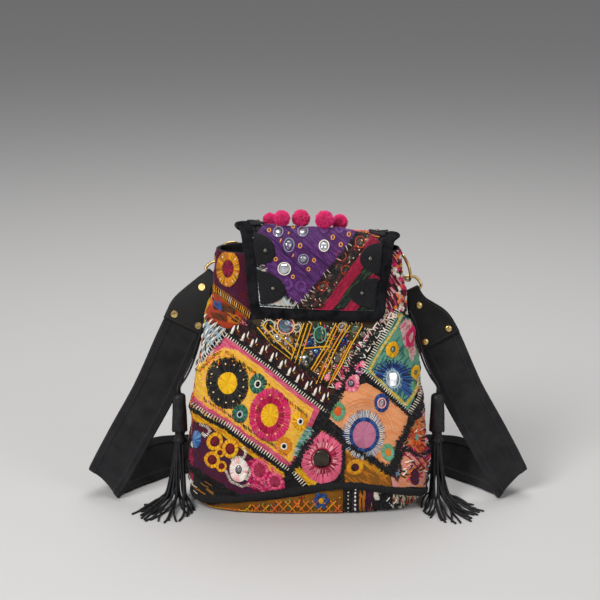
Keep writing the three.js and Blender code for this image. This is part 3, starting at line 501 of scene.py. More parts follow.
class Pouch:
    """The pouch's outer cloth, told by how far across it a place lies from the middle
    of its front, and by its height. In front, across is simply x, and past nine
    tenths of the half width it goes on as a length along the cloth."""

    FLAT = 0.9
    ROW = 2.0

    def __init__(self):
        self.columns = 420
        heights = np.arange(0, MOUTH_HEIGHT + self.ROW, self.ROW)
        self.x, self.y, self.turn, self.end, self.turned = [], [], [], [], []
        angles = np.linspace(0, math.pi, 1400)
        for z in heights:
            wide, deep, square = (float(v) for v in section(z))
            s, c = np.sin(angles), -np.cos(angles)
            x = wide * np.abs(s) ** (2 / square)
            y = deep * np.sign(c) * np.abs(c) ** (2 / square)
            step = np.hypot(np.diff(x), np.diff(y))
            length = np.concatenate([[0], np.cumsum(step)])
            flat = (x < self.FLAT * wide) & (angles < math.pi / 2)
            edge = int(flat.sum())
            across = np.where(flat, x, x[edge] + length - length[edge])
            grid = np.arange(self.columns, dtype=float)
            self.x.append(np.interp(grid, across, x))
            self.y.append(np.interp(grid, across, y))
            self.turn.append(np.interp(grid, across, length / length[-1] / 2))
            self.end.append(across[-1])
            self.turned.append((across, length / length[-1] / 2))
        self.x, self.y, self.turn = np.array(self.x), np.array(self.y), np.array(self.turn)
        waves = random.Random(21)
        self.ripples = [
            [waves.uniform(0, 2 * math.pi) for _ in range(3)] + [size]
            for size in (70, 52, 41, 33, 27, 22, 18, 15, 13, 11)
        ]

    def look(self, table, across, z):
        row = np.clip(np.asarray(z, dtype=float) / self.ROW, 0, table.shape[0] - 1.001)
        column = np.clip(np.abs(across), 0, self.columns - 1.001)
        r, c = row.astype(int), column.astype(int)
        fr, fc = row - r, column - c
        top = table[r, c] * (1 - fc) + table[r, c + 1] * fc
        low = table[r + 1, c] * (1 - fc) + table[r + 1, c + 1] * fc
        return top * (1 - fr) + low * fr

    def across_at(self, turn, z):
        """How far across a turn round the pouch lies at a height."""
        turn -= round(turn)
        row = int(min(max(z / self.ROW, 0), len(self.turned) - 1))
        across, share = self.turned[row]
        return math.copysign(float(np.interp(abs(turn), share, across)), turn)

    def bare(self, across, z):
        x, y = self.look(self.x, across, z), self.look(self.y, across, z)
        turn = self.look(self.turn, across, z) * np.sign(across)
        swell = np.zeros_like(x)
        up = np.asarray(z) / MOUTH_HEIGHT
        for dent in DENTS:
            round_ = turn - dent["turn"] - np.round(turn - dent["turn"])
            near = np.exp(-((round_ / dent["across"]) ** 2) - ((up - dent["up"]) / dent["tall"]) ** 2)
            swell += near * dent["swell"] * POUCH_DEPTH
        grow = 1 + swell / np.maximum(np.hypot(x, y), 1)
        return np.stack([np.sign(across) * x * grow, y * grow, np.broadcast_to(z, x.shape)], axis=-1)

    def ripple(self, places):
        """Soft unevenness of the quilted cloth, in millimetres."""
        rise = np.zeros(places.shape[:-1])
        for aim, lean, phase, size in self.ripples:
            along = places @ [math.cos(aim), math.sin(lean), math.sin(aim)]
            rise = rise + 0.017 * size * np.sin(2 * math.pi * along / size + phase)
        z = places[..., 2]
        near_foot = np.clip((z - 6) / 30, 0.15, 1)
        near_mouth = np.clip((MOUTH_HEIGHT - z) / 60, 0, 1)
        return rise * near_foot * near_mouth

    def at(self, across, z, lift=0.0):
        across, z = np.asarray(across, dtype=float) + 1e-9, np.asarray(z, dtype=float)
        d = 1.5
        sideways = self.bare(across + d, z) - self.bare(across - d, z)
        upwards = self.bare(across, z + d) - self.bare(across, z - d)
        out = np.cross(sideways, upwards)
        out /= np.linalg.norm(out, axis=-1)[..., None]
        places = self.bare(across, z)
        return places + out * (np.asarray(lift) + self.ripple(places))[..., None]

    def find(self, px, py):
        """Across and height of the place that shows at a pixel, running on round the
        side for a pixel beside the pouch."""
        px, py = np.asarray(px, dtype=float), np.asarray(py, dtype=float)
        y = np.full(px.shape, -50.0)
        for _ in range(12):
            x, z = unproject(px, py, y)
            z = np.clip(z, 0, MOUTH_HEIGHT)
            wide, deep, square = section(z)
            share = np.minimum(np.abs(x) / wide, 0.985)
            y = 0.5 * y - 0.5 * deep * (1 - share**square) ** (1 / square)
        x, z = unproject(px, py, y)
        wide, deep, square = section(np.clip(z, 0, MOUTH_HEIGHT))
        start = self.FLAT * wide
        stop = np.minimum(np.abs(x), 0.985 * wide)
        length = np.zeros(px.shape)
        before = None
        for t in np.linspace(0, 1, 25):
            share = (start + (stop - start) * t) / wide
            spot = (share * wide, deep * (1 - share**square) ** (1 / square))
            if before:
                length = length + np.hypot(spot[0] - before[0], spot[1] - before[1])
            before = spot
        beyond = np.maximum(np.abs(x) - 0.985 * wide, 0) * 2.4
        across = np.where(np.abs(x) < start, np.abs(x), start + length + beyond)
        return np.sign(x) * across, np.clip(z, LOWEST_STITCH, MOUTH_HEIGHT - 1)


pouch = Pouch()


def sheet_mesh(name, points, uv=None, closed=False, caps=False):
    """A mesh through a grid of points in millimetres, rows by columns. Closed joins
    the last column to the first, and caps closes the first and last rows."""
    rows, columns = points.shape[:2]
    bm = bmesh.new()
    bmesh.ops.create_grid(bm, x_segments=columns - 1, y_segments=rows - 1, size=1)
    bm.verts.ensure_lookup_table()
    for vert, point in zip(bm.verts, mm(points).reshape(-1, 3)):
        vert.co = point
    if uv is not None:
        layer = bm.loops.layers.uv.new("cloth")
        flat = uv.reshape(-1, 2)
        for face in bm.faces:
            for loop in face.loops:
                loop[layer].uv = flat[loop.vert.index]
    if closed:
        bmesh.ops.remove_doubles(bm, verts=bm.verts, dist=1e-6)
    if caps:
        bmesh.ops.holes_fill(bm, edges=bm.edges, sides=0)
    if closed:
        bmesh.ops.recalc_face_normals(bm, faces=bm.faces)
    for face in bm.faces:
        face.smooth = True
    mesh = bpy.data.meshes.new(name)
    bm.to_mesh(mesh)
    bm.free()
    return mesh


ground_finish = Finish("black cotton ground", roughness=0.92, sheen_weight=0.03, specular_ior_level=0.08)
ground_uv = ground_finish.place("UV")
ground_weave = ground_finish.wave(ground_uv, "DIAGONAL", 0.6)
ground_speck = ground_finish.noise(ground_uv, 0.35, 3)
ground_finish.give(
    base_color=ground_finish.ramp(ground_speck, (0.3, (0.012, 0.011, 0.012)), (0.8, (0.035, 0.03, 0.03))),
    normal=ground_finish.bump(ground_weave + ground_finish.noise(ground_uv, 1.8, 2), 0.5, 0.0004),
)

WALL_ROWS = 104


def wall(name, turns, columns, finish, slot, nodes):
    """A wall of the pouch between two turns round it, from the base seam to the mouth."""
    turn = np.linspace(*turns, columns)
    foot = seam_at(turn) + 0.2
    share = np.linspace(0, 1, WALL_ROWS)[:, None]
    z = foot + (MOUTH_HEIGHT - foot) * share
    across = np.array([[pouch.across_at(t, h) for t, h in zip(turn, row)] for row in z])
    points = pouch.at(across, z)
    mesh = sheet_mesh(name, points, np.stack([across, z], axis=-1))
    piece = put(name, mesh, finish, slot, *nodes)
    thick = piece.modifiers.new("thickness", "SOLIDIFY")
    thick.thickness, thick.offset = CLOTH / 1000, -1
    return piece


front_nodes = ("front_panel", "side_panel_left", "side_panel_right")
wall("pouch_front", (-BACK_SEAM, BACK_SEAM), 260, ground_finish, "patchwork", front_nodes)

back_finish = Finish("black canvas", roughness=0.9, sheen_weight=0.04, specular_ior_level=0.1)
back_uv = back_finish.place("UV")
warp = back_finish.wave(back_uv, "X", 0.55, 0.4)
weft = back_finish.wave(back_uv, "Y", 0.55, 0.4)
back_tone = back_finish.noise(back_uv, 0.12, 4)
back_finish.give(
    base_color=back_finish.ramp(back_tone, (0.3, (0.009, 0.009, 0.01)), (0.75, (0.022, 0.022, 0.024))),
    normal=back_finish.bump(warp + weft + back_finish.noise(back_uv, 2.2, 2), 0.6, 0.0004),
)
wall("pouch_back", (BACK_SEAM, 1 - BACK_SEAM), 90, back_finish, "canvas", ("back_panel",))


# The base: a shallow cup of the same patchwork, flat below and tucked in all round.

BASE_COLUMNS = 300
base_turns = np.arange(BASE_COLUMNS) / BASE_COLUMNS
base_top = seam_at(base_turns) - 0.2


def round_the_pouch(turns, heights, lift):
    across = np.array([pouch.across_at(t, h) for t, h in zip(turns, heights)])
    return pouch.at(across, heights, lift), np.stack([across, heights], axis=-1)


base_rows, base_uv = [], []
for share in np.linspace(0, 1, 16):
    points, places = round_the_pouch(base_turns, 0.4 + (base_top - 0.4) * share, 0)
    base_rows.append(points)
    base_uv.append(places)
rim = base_rows[0]
middle_of_base = rim.mean(axis=0)
for share in (0.9, 0.5, 0.04):
    base_rows.insert(0, (rim - middle_of_base) * share + middle_of_base)
    base_uv.insert(0, base_uv[0] * share)
inner, inner_uv = [], []
for share in (1, 0.5, 0.1):
    points, places = round_the_pouch(base_turns, 3 + (base_top - 3) * share, -CLOTH)
    inner.append(points)
    inner_uv.append(places)
for share in (0.5, 0.04):
    inner.append((inner[2] - inner[2].mean(axis=0)) * share + inner[2].mean(axis=0))
    inner_uv.append(inner_uv[2] * share)
base_points, base_places = np.array(base_rows + inner), np.array(base_uv + inner_uv)
base_points[..., 2] = np.maximum(base_points[..., 2], 0.1)
wrap = [*range(BASE_COLUMNS), 0]
base_mesh = sheet_mesh("base", base_points[:, wrap], base_places[:, wrap], closed=True, caps=True)
put("base", base_mesh, ground_finish, "patchwork", "base_panel")


# The piping: a cord in a bias strip of black cotton, puckered where it is sewn over
# the seam between the pouch and its base.

PIPING_WIDTH = 8.0
PIPING_RISE = 3.6
PIPING_SIDES = 12
PIPING_COLUMNS = 420

piping_finish = Finish("black cotton piping", roughness=0.88, sheen_weight=0.04, specular_ior_level=0.1)
piping_uv = piping_finish.place("UV")
pucker = piping_finish.wave(piping_uv, "X", 0.07, 3.0)
piping_weave = piping_finish.noise(piping_uv, 1.6, 3)
piping_finish.give(
    base_color=piping_finish.ramp(piping_weave, (0.3, (0.008, 0.008, 0.009)), (0.8, (0.024, 0.023, 0.024))),
    normal=piping_finish.bump(piping_weave + pucker * 1.5, 0.6, 0.0006),
)
piping_turns = np.arange(PIPING_COLUMNS) / PIPING_COLUMNS
piping_rows, piping_places = [], []
for k in range(PIPING_SIDES):
    angle = 2 * math.pi * k / PIPING_SIDES
    wobble = 1 + 0.06 * np.sin(2 * math.pi * piping_turns * 61)
    wobble = wobble + 0.05 * np.sin(2 * math.pi * piping_turns * 37)
    out = max(math.cos(angle), -0.1) * PIPING_RISE * wobble
    heights = seam_at(piping_turns) + math.sin(angle) * PIPING_WIDTH / 2 * wobble
    points, _ = round_the_pouch(piping_turns, np.maximum(heights, 0), 0.6 + out)
    piping_rows.append(points)
    piping_places.append(np.stack([piping_turns * 640, np.full(PIPING_COLUMNS, k * 1.6)], axis=-1))
piping_points = np.array(piping_rows + piping_rows[:1])
piping_points[..., 2] = np.maximum(piping_points[..., 2], 0.1)
piping_grid = np.array(piping_places + piping_places[:1])
wrap = [*range(PIPING_COLUMNS), 0]
piping_mesh = sheet_mesh("piping", piping_points[:, wrap], piping_grid[:, wrap], closed=True)
put("piping", piping_mesh, piping_finish, "canvas", "base_piping")


# The flap: patchwork that is sewn to the pouch's back, turns over the mouth and hangs
# down in front, a little askew.

FLAP_WIDTH = 158.0
FLAP_SHIFT = 8.5
FLAP_HEM_HEIGHT = 201.0
FLAP_ROOT_HEIGHT = 237.0
FLAP_RISE = 17.0
FLAP_CLOTH = 2.4
BINDING_WIDTH = 13.0
BINDING_THICK = 5.6
BINDING_GRIP = 6.0
BINDING_REACH = 16.5
FLAP_OFFSET = BINDING_THICK / 2 + 1.6
HEM_TILT = 0.032
CREST_TILT = 0.088
FLAP_ALONG = [0.0, 0.1, 0.5, 0.62, 0.76, 0.88, 1.0]
FLAP_WIDE = [0.82, 0.85, 0.96, 1.02, 1.02, 0.76, 0.58]


class Flap:
    """The flap's middle surface: across is x, and along is a length from its hem."""

    def __init__(self):
        down = np.linspace(FLAP_HEM_HEIGHT, MOUTH_HEIGHT, 16)
        bend = np.linspace(0, math.pi, 18)[1:-1]
        rear = np.linspace(MOUTH_HEIGHT, FLAP_ROOT_HEIGHT, 9)
        self.side = np.concatenate([-np.ones(16), -np.cos(bend), np.ones(9)])
        self.z = np.concatenate([down, np.full(16, MOUTH_HEIGHT), rear])
        self.arch = np.concatenate([np.zeros(16), np.sin(bend), np.zeros(9)])
        spine = self.on_profile(np.arange(len(self.z)), np.full(len(self.z), FLAP_SHIFT))
        self.length = np.concatenate([[0], np.cumsum(np.linalg.norm(np.diff(spine, axis=0), axis=1))])
        self.whole = float(self.length[-1])
        waves = random.Random(5)
        self.ripples = [
            (waves.uniform(0, 6.28), waves.uniform(0, 6.28), size) for size in (64, 47, 36, 27, 21, 16)
        ]

    def on_profile(self, row, x):
        side, height, arch = self.side[row], self.z[row], self.arch[row]
        level = np.clip((height - FLAP_HEM_HEIGHT) / (MOUTH_HEIGHT - FLAP_HEM_HEIGHT), 0, 1)
        tilt = HEM_TILT + (CREST_TILT - HEM_TILT) * level * np.where(side > 0, 0.5, 1)
        z = height - tilt * (x - FLAP_SHIFT)
        wide, deep, square = section(np.minimum(z, MOUTH_HEIGHT))
        edge = np.minimum(np.abs(x) / (wide + FLAP_OFFSET), 1)
        narrow = (1 - edge**square) ** (1 / square)
        return np.stack([x, side * (deep + FLAP_OFFSET) * narrow, z + arch * FLAP_RISE], axis=-1)

    def middle(self, x, along):
        row = np.clip(np.searchsorted(self.length, along) - 1, 0, len(self.length) - 2)
        t = (along - self.length[row]) / (self.length[row + 1] - self.length[row])
        return self.on_profile(row, x) * (1 - t)[..., None] + self.on_profile(row + 1, x) * t[..., None]

    def edge(self, along, side):
        return FLAP_SHIFT + side * FLAP_WIDTH / 2 * smooth(FLAP_ALONG, FLAP_WIDE, along / self.whole)

    def at(self, x, along, lift=0.0):
        x, along = np.broadcast_arrays(np.asarray(x, dtype=float), np.asarray(along, dtype=float))
        d = 1.5
        across = self.middle(x + d, along) - self.middle(x - d, along)
        onward = self.middle(x, along + d) - self.middle(x, along - d)
        out = np.cross(across, onward)
        out /= np.linalg.norm(out, axis=-1)[..., None]
        rise = np.zeros(x.shape)
        for aim, phase, size in self.ripples:
            place = x * math.cos(aim) + along * math.sin(aim)
            rise += 0.011 * size * np.sin(2 * math.pi * place / size + phase)
        return self.middle(x, along) + out * (np.asarray(lift) + rise)[..., None]

    def find(self, px, py):
        """Across and along of the place that shows at a pixel, by closing in on it."""
        px, py = np.asarray(px, dtype=float), np.asarray(py, dtype=float)
        x, along = px - 300 + AIM[0], np.clip((322 - py) * 0.92, 2, 150)
        for _ in range(14):
            here = np.stack(project(self.middle(x, along)), axis=-1)
            right = np.stack(project(self.middle(x + 1, along)), axis=-1) - here
            onward = np.stack(project(self.middle(x, along + 1)), axis=-1) - here
            miss = np.stack([px, py], axis=-1) - here
            area = right[..., 0] * onward[..., 1] - right[..., 1] * onward[..., 0]
            area = np.where(np.abs(area) < 0.15, -0.15, area)
            move_x = (miss[..., 0] * onward[..., 1] - miss[..., 1] * onward[..., 0]) / area
            move = (right[..., 0] * miss[..., 1] - right[..., 1] * miss[..., 0]) / area
            x = x + np.clip(move_x, -12, 12) * 0.8
            along = np.clip(along + np.clip(move, -12, 12) * 0.8, BINDING_WIDTH - 2, 112)
            margin = BINDING_WIDTH - 2
            x = np.clip(x, self.edge(along, -1) + margin, self.edge(along, 1) - margin)
        return x, along


flap = Flap()

flap_inset = BINDING_WIDTH - BINDING_GRIP + 0.3
flap_rows = np.linspace(flap_inset + 0.5, flap.whole - 0.5, 110)
held = (BINDING_GRIP - 0.6) * np.clip((flap_rows - flap_inset) / 3, 0.15, 1)
flap_left = flap.edge(flap_rows, -1) + BINDING_WIDTH - held
flap_right = flap.edge(flap_rows, 1) - BINDING_WIDTH + held
flap_x = flap_left[:, None] + (flap_right - flap_left)[:, None] * np.linspace(0, 1, 80)
flap_d = np.broadcast_to(flap_rows[:, None], flap_x.shape)
flap_mesh = sheet_mesh("flap", flap.at(flap_x, flap_d, FLAP_CLOTH / 2), np.stack([flap_x, flap_d], axis=-1))
flap_piece = put("flap", flap_mesh, ground_finish, "patchwork", "flap_panel")
flap_thick = flap_piece.modifiers.new("thickness", "SOLIDIFY")
flap_thick.thickness, flap_thick.offset = FLAP_CLOTH / 1000, -1


# The binding: a wide tape of black velvet folded over both sides and the hem of the
# flap, padded and sewn down by one line of stitches along its inner edge.

velvet_finish = Finish("black velvet", roughness=1.0, sheen_weight=0.16, sheen_roughness=0.3)
velvet_finish.give(sheen_tint=(0.4, 0.4, 0.45), specular_ior_level=0.04)
velvet_place = velvet_finish.place()
pile = velvet_finish.noise(velvet_place, 90, 4, 0.6)
nap = velvet_finish.noise(velvet_place, 1600, 2)
velvet_finish.give(
    base_color=velvet_finish.ramp(pile, (0.35, (0.004, 0.004, 0.005)), (0.7, (0.016, 0.016, 0.018))),
    normal=velvet_finish.bump(nap + pile * 2, 0.7, 0.0006),
)


CORNER_STEPS = 9
SIDE_STEPS = 96
HEM_STEPS = 60


def binding_stations():
    """Outer and inner ends of the tape's sections, round the flap from root to root."""
    sides = np.linspace(BINDING_WIDTH, flap.whole - 0.2, SIDE_STEPS)
    outer, inner = [], []
    for sign in (-1, 1):
        edge = flap.edge(sides, sign)
        out = np.stack([edge, sides], axis=-1)
        wide = BINDING_WIDTH + (BINDING_REACH - BINDING_WIDTH) * np.clip((sides - BINDING_WIDTH) / 20, 0, 1)
        into = np.stack([edge - sign * wide, sides], axis=-1)
        hub = into[0]
        corner_out, corner_in = [], []
        for t in np.linspace(0, 1, CORNER_STEPS + 2)[1:-1]:
            angle = t * math.pi / 2
            reach = BINDING_WIDTH * (1 + 0.12 * math.sin(2 * angle))
            corner_out.append(hub + reach * np.array([sign * math.cos(angle), -math.sin(angle)]))
            corner_in.append(hub)
        if sign < 0:
            outer += [*out[::-1], *corner_out]
            inner += [*into[::-1], *corner_in]
            for x in np.linspace(hub[0], 2 * FLAP_SHIFT - hub[0], HEM_STEPS):
                outer.append([x, 0.0])
                inner.append([x, BINDING_WIDTH])
        else:
            outer += [*corner_out[::-1], *out]
            inner += [*corner_in[::-1], *into]
    return np.array(outer), np.array(inner)


bind_outer, bind_inner = binding_stations()
half_thick = BINDING_THICK / 2
slot_lift = FLAP_CLOTH / 2 + 0.45
BIND_SECTION = [
    (0.0, 0.0), (0.03, 0.42), (0.1, 0.78), (0.22, 0.98), (0.4, 1.0), (0.58, 0.97), (0.72, 0.86),
    (0.82, 0.74), (0.9, 0.86), (0.97, 0.84), (1.0, 0.7),
]
bind_section = [(across, lift * (half_thick + 0.5)) for across, lift in BIND_SECTION]
bind_section += [(1.0, slot_lift), (0.54, slot_lift), (0.54, -slot_lift), (1.0, -slot_lift)]
bind_section += [(across, -lift * half_thick) for across, lift in BIND_SECTION[:0:-1]]
bind_points = []
for across, lift in bind_section + bind_section[:1]:
    place = bind_outer + (bind_inner - bind_outer) * across
    bind_points.append(flap.at(place[:, 0], place[:, 1], lift))
bind_mesh = sheet_mesh("flap_binding_tape", np.array(bind_points).swapaxes(0, 1), closed=True, caps=True)
binding = put("flap_binding_tape", bind_mesh, velvet_finish, "velvet", "flap_binding")

thread_finish = Finish("embroidery thread", roughness=0.5, sheen_weight=0.08, specular_ior_level=0.16)
thread_dye = thread_finish.attribute("dye")
thread_finish.give(base_color=thread_dye)


def dashes(surface, line, step, share, lift, radius, dye, bow):
    """Short stitches along a line of places on a surface."""
    line = np.asarray(line, dtype=float)
    length = np.concatenate([[0], np.cumsum(np.linalg.norm(np.diff(line, axis=0), axis=1))])
    made = []
    for start in np.arange(step * 0.3, length[-1] - step * share, step):
        at = start + step * share * np.array([0, 0.5, 1])
        places = np.stack([np.interp(at, length, line[:, k]) for k in (0, 1)], axis=-1)
        points = surface.at(places[:, 0], places[:, 1],
            lift + np.array([-radius * 0.8, bow, -radius * 0.8]))
        made.append({"points": points, "radius": radius, "dye": dye})
    return made


bind_seam = bind_outer + (bind_inner - bind_outer) * 0.84
seam_lift = (half_thick + 0.5) * 0.78
bind_stitches = dashes(flap, bind_seam, 3.2, 0.68, seam_lift, 0.28, (0.03, 0.03, 0.035), 0.25)
stitch_mesh = threads("binding_stitches", bind_stitches, 6)
put("binding_stitches", stitch_mesh, thread_finish, "velvet")


# The scallops: half discs of black felt tucked under the binding, with a brass stud
# in each, three down either side of the flap.

SCALLOP_RADIUS = 14.5
SCALLOP_THICK = 1.2
SCALLOPS = [
    {"name": "lower", "place": 0.17, "size": 1.08, "reach": 1.3},
    {"name": "upper", "place": 0.38, "size": 1.02, "reach": 1.05},
    {"name": "crown", "place": 0.62, "size": 0.95, "reach": 1.0},
]
scallop_lift = FLAP_CLOTH / 2 + 2.3

brass_finish = Finish("worn brass", metallic=1.0, base_color=(0.62, 0.43, 0.16))
brass_place = brass_finish.place()
scuffs = brass_finish.noise(brass_place, 240, 5, 0.7)
scratches = brass_finish.noise(brass_finish.node("Mapping", {},
    {"Vector": brass_place, "Scale": (40, 600, 40)}), 6, 3)
brass_finish.give(
    base_color=brass_finish.ramp(scuffs, (0.35, (0.46, 0.3, 0.1)), (0.7, (0.78, 0.57, 0.24))),
    roughness=brass_finish.level(scuffs * 0.6 + scratches * 0.4, 0.3, 0.7, 0.18, 0.42),
    normal=brass_finish.bump(scratches, 0.15, 0.0002),
)


def outwards(bm):
    """Turns the faces of one closed shell outwards."""
    bmesh.ops.recalc_face_normals(bm, faces=bm.faces)
    middle = sum((vert.co for vert in bm.verts), Vector()) / len(bm.verts)
    volume = 0.0
    for face in bm.faces:
        first, *others = [vert.co - middle for vert in face.verts]
        volume += sum(first.dot(b.cross(c)) for b, c in zip(others, others[1:]))
    if volume < 0:
        bmesh.ops.reverse_faces(bm, faces=bm.faces)


def stud(name, surface, across, along, lift, radius, rise, finish, slot, *nodes):
    """A small domed disc that lies on a surface."""
    centre, right, up = surface.at([across, across + 1, across], [along, along, along + 1], lift)
    right, up = right - centre, up - centre
    out = np.cross(right, up)
    frame_of = [v / np.linalg.norm(v) for v in (right, np.cross(out, right), out)]
    bm = bmesh.new()
    bmesh.ops.create_uvsphere(bm, u_segments=20, v_segments=12, radius=1)
    low = [v for v in bm.verts if v.co.z < -0.01]
    bmesh.ops.delete(bm, geom=low, context="VERTS")
    bmesh.ops.holes_fill(bm, edges=bm.edges, sides=0)
    for vert in bm.verts:
        x, y, z = vert.co
        place = centre + frame_of[0] * x * radius + frame_of[1] * y * radius + frame_of[2] * z * rise
        vert.co = mm(place)
    outwards(bm)
    for face in bm.faces:
        face.smooth = len(face.verts) < 5
    mesh = bpy.data.meshes.new(name)
    bm.to_mesh(mesh)
    bm.free()
    return put(name, mesh, finish, slot, *nodes)


dark_brass_finish = Finish("burnished brass", metallic=1.0, base_color=(0.16, 0.14, 0.12), roughness=0.28)

felt_finish = Finish("black felt", roughness=0.96, sheen_weight=0.05, specular_ior_level=0.06)
felt_place = felt_finish.place()
felt_fuzz = felt_finish.noise(felt_place, 700, 5, 0.7)
felt_finish.give(
    base_color=felt_finish.ramp(felt_fuzz, (0.3, (0.007, 0.007, 0.008)), (0.8, (0.024, 0.024, 0.026))),
    normal=felt_finish.bump(felt_fuzz, 0.9, 0.0007),
)

for side, hand in ((-1, "left"), (1, "right")):
    for spec in SCALLOPS:
        radius = SCALLOP_RADIUS * spec["size"]
        middle = flap.whole * spec["place"]
        angle = np.linspace(-0.5, 0.5, 33)[:, None] * math.pi * 0.97
        share = np.linspace(0, 1, 9)
        along = middle + radius * np.sin(angle) * np.ones_like(share)
        root = flap.edge(along, side) - side * (BINDING_WIDTH - 1)
        x = root - side * (radius * spec["reach"] * (0.98 + 0.24 * np.cos(angle)) * np.cos(angle) + 1) * share
        roundness = scallop_lift + SCALLOP_THICK * np.sqrt(1 - 0.8 * share**4) * np.ones_like(along)
        name = f"scallop_{spec['name']}_{hand}"
        top = flap.at(x, along, roundness)
        both = np.concatenate([top, flap.at(x, along, scallop_lift)[:, ::-1], top[:, :1]], axis=1)
        mesh = sheet_mesh(f"{name}_felt", both, closed=True, caps=True)
        put(f"{name}_felt", mesh, felt_finish, "velvet", name)
        spot = float(flap.edge(np.array(middle),
            side)) - side * (BINDING_WIDTH + radius * 0.62 * spec["reach"])
        stud(
            f"{name}_stud", flap, spot, middle, scallop_lift + SCALLOP_THICK + 0.2, 2.1, 1.6,
            dark_brass_finish, "brass", f"scallop_stud_{spec['name']}_{hand}",
        )


# The patchwork: pieces of cotton and silk sewn on the black ground with needlework over
# them. Their places are pixels of the photograph, carried onto the cloth by the camera.


def dye(code):
    """A colour from its six hexadecimal digits."""
    shares = [int(code[k : k + 2], 16) / 255 for k in (0, 2, 4)]
    return tuple(round(c / 12.92 if c < 0.04 else ((c + 0.055) / 1.055) ** 2.4, 4) for c in shares)


def oval(px, py, rx, ry, count=28, wobble=0.0, chance=None):
    """Points round an oval, whose edge may be a little uneven."""
    places = []
    for k in range(count):
        angle = 2 * math.pi * k / count
        size = 1 + (chance.uniform(-wobble, wobble) if chance else 0)
        places.append((px + rx * size * math.cos(angle), py + ry * size * math.sin(angle)))
    return places


def band(line, width):
    """The outline of a band of even width along a line."""
    line = np.asarray(line, dtype=float)
    step = np.gradient(line, axis=0)
    beside = np.stack([-step[:, 1], step[:, 0]], axis=-1) / np.linalg.norm(step, axis=1)[:, None]
    return [*(line + beside * width / 2), *(line - beside * width / 2)[::-1]]


OUTLINE_STEP = 4.0


def denser(outline):
    """The same closed outline with a point every few pixels."""
    places = []
    for a, b in zip(outline, [*outline[1:], outline[0]]):
        a, b = np.array(a, dtype=float), np.array(b, dtype=float)
        count = max(int(np.linalg.norm(b - a) / OUTLINE_STEP), 1)
        places += [a + (b - a) * k / count for k in range(count)]
    return np.array(places)


def walk(line, step):
    """Places at even steps along a line, and the way across it at each."""
    line = np.asarray(line, dtype=float)
    length = np.concatenate([[0], np.cumsum(np.linalg.norm(np.diff(line, axis=0), axis=1))])
    at = np.arange(step / 2, length[-1], step)
    places = np.stack([np.interp(at, length, line[:, k]) for k in (0, 1)], axis=-1)
    ahead = np.stack([np.interp(at + 0.5, length, line[:, k]) for k in (0, 1)], axis=-1)
    behind = np.stack([np.interp(at - 0.5, length, line[:, k]) for k in (0, 1)], axis=-1)
    along = (ahead - behind) / np.linalg.norm(ahead - behind, axis=1)[:, None]
    return places, np.stack([-along[:, 1], along[:, 0]], axis=-1), along


class Quilt:
    """Pieces of cloth laid on a surface, in one mesh."""

    def __init__(self, surface):
        self.surface = surface
        self.bm = bmesh.new()
        self.bm.loops.layers.float_color.new("dye")
        self.uv = self.bm.loops.layers.uv.new("cloth")

    def lay(self, outline, colour, lift, puff, aim=0.0, cell=3.6):
        outline = denser(outline)
        piece = bmesh.new()
        bmesh.ops.create_circle(piece, cap_ends=True, segments=len(outline), radius=1)
        for vert, (px, py) in zip(piece.verts, outline):
            vert.co = (px, -py, 0)
        for axis in (0, 1):
            sign = 1 - 2 * axis
            for cut in np.arange(outline[:, axis].min() + cell / 2, outline[:, axis].max(), cell):
                at = Vector((cut, 0, 0)) if axis == 0 else Vector((0, -cut, 0))
                way = Vector((1, 0, 0)) if axis == 0 else Vector((0, 1, 0))
                every = piece.verts[:] + piece.edges[:] + piece.faces[:]
                bmesh.ops.bisect_plane(piece, geom=every, dist=1e-4, plane_co=at, plane_no=way)
        raised = bmesh.ops.extrude_face_region(piece, geom=piece.faces[:], use_keep_orig=True)["geom"]
        top = [v for v in raised if isinstance(v, bmesh.types.BMVert)]
        bmesh.ops.translate(piece, verts=top, vec=(0, 0, 1))
        flat = np.array([(v.co.x, -v.co.y) for v in piece.verts])
        above = np.array([v.co.z for v in piece.verts])
        start, run = outline, np.roll(outline, -1, axis=0) - outline
        share = ((flat[:, None] - start) * run).sum(-1) / np.maximum((run**2).sum(-1), 1e-9)
        foot = start + run * np.clip(share, 0, 1)[..., None]
        depth = np.linalg.norm(flat[:, None] - foot, axis=-1).min(axis=1)
        rise = lift + puff * (1 - np.exp(-depth / 2.2)) - 0.35 * np.exp(-depth / 0.6)
        u, v = self.surface.find(flat[:, 0], flat[:, 1])
        places = mm(self.surface.at(u, v, rise - 0.9 * (1 - above)))
        for vert, place in zip(piece.verts, places):
            vert.co = place
        outwards(piece)
        colour_layer = piece.loops.layers.float_color.new("dye")
        uv_layer = piece.loops.layers.uv.new("cloth")
        turn = math.radians(aim)
        for face in piece.faces:
            face.smooth = True
            for loop in face.loops:
                x, y, z = loop.vert.co * 1000
                loop[colour_layer] = (*colour, 1)
                loop[uv_layer].uv = (
                    x * math.cos(turn) + z * math.sin(turn), z * math.cos(turn) - x * math.sin(turn) + y
                )
        scrap = bpy.data.meshes.new("scrap")
        piece.to_mesh(scrap)
        self.bm.from_mesh(scrap)
        bpy.data.meshes.remove(scrap)
        piece.free()

    def put(self, name, finish, slot):
        mesh = bpy.data.meshes.new(name)
        self.bm.to_mesh(mesh)
        self.bm.free()
        return put(name, mesh, finish, slot)


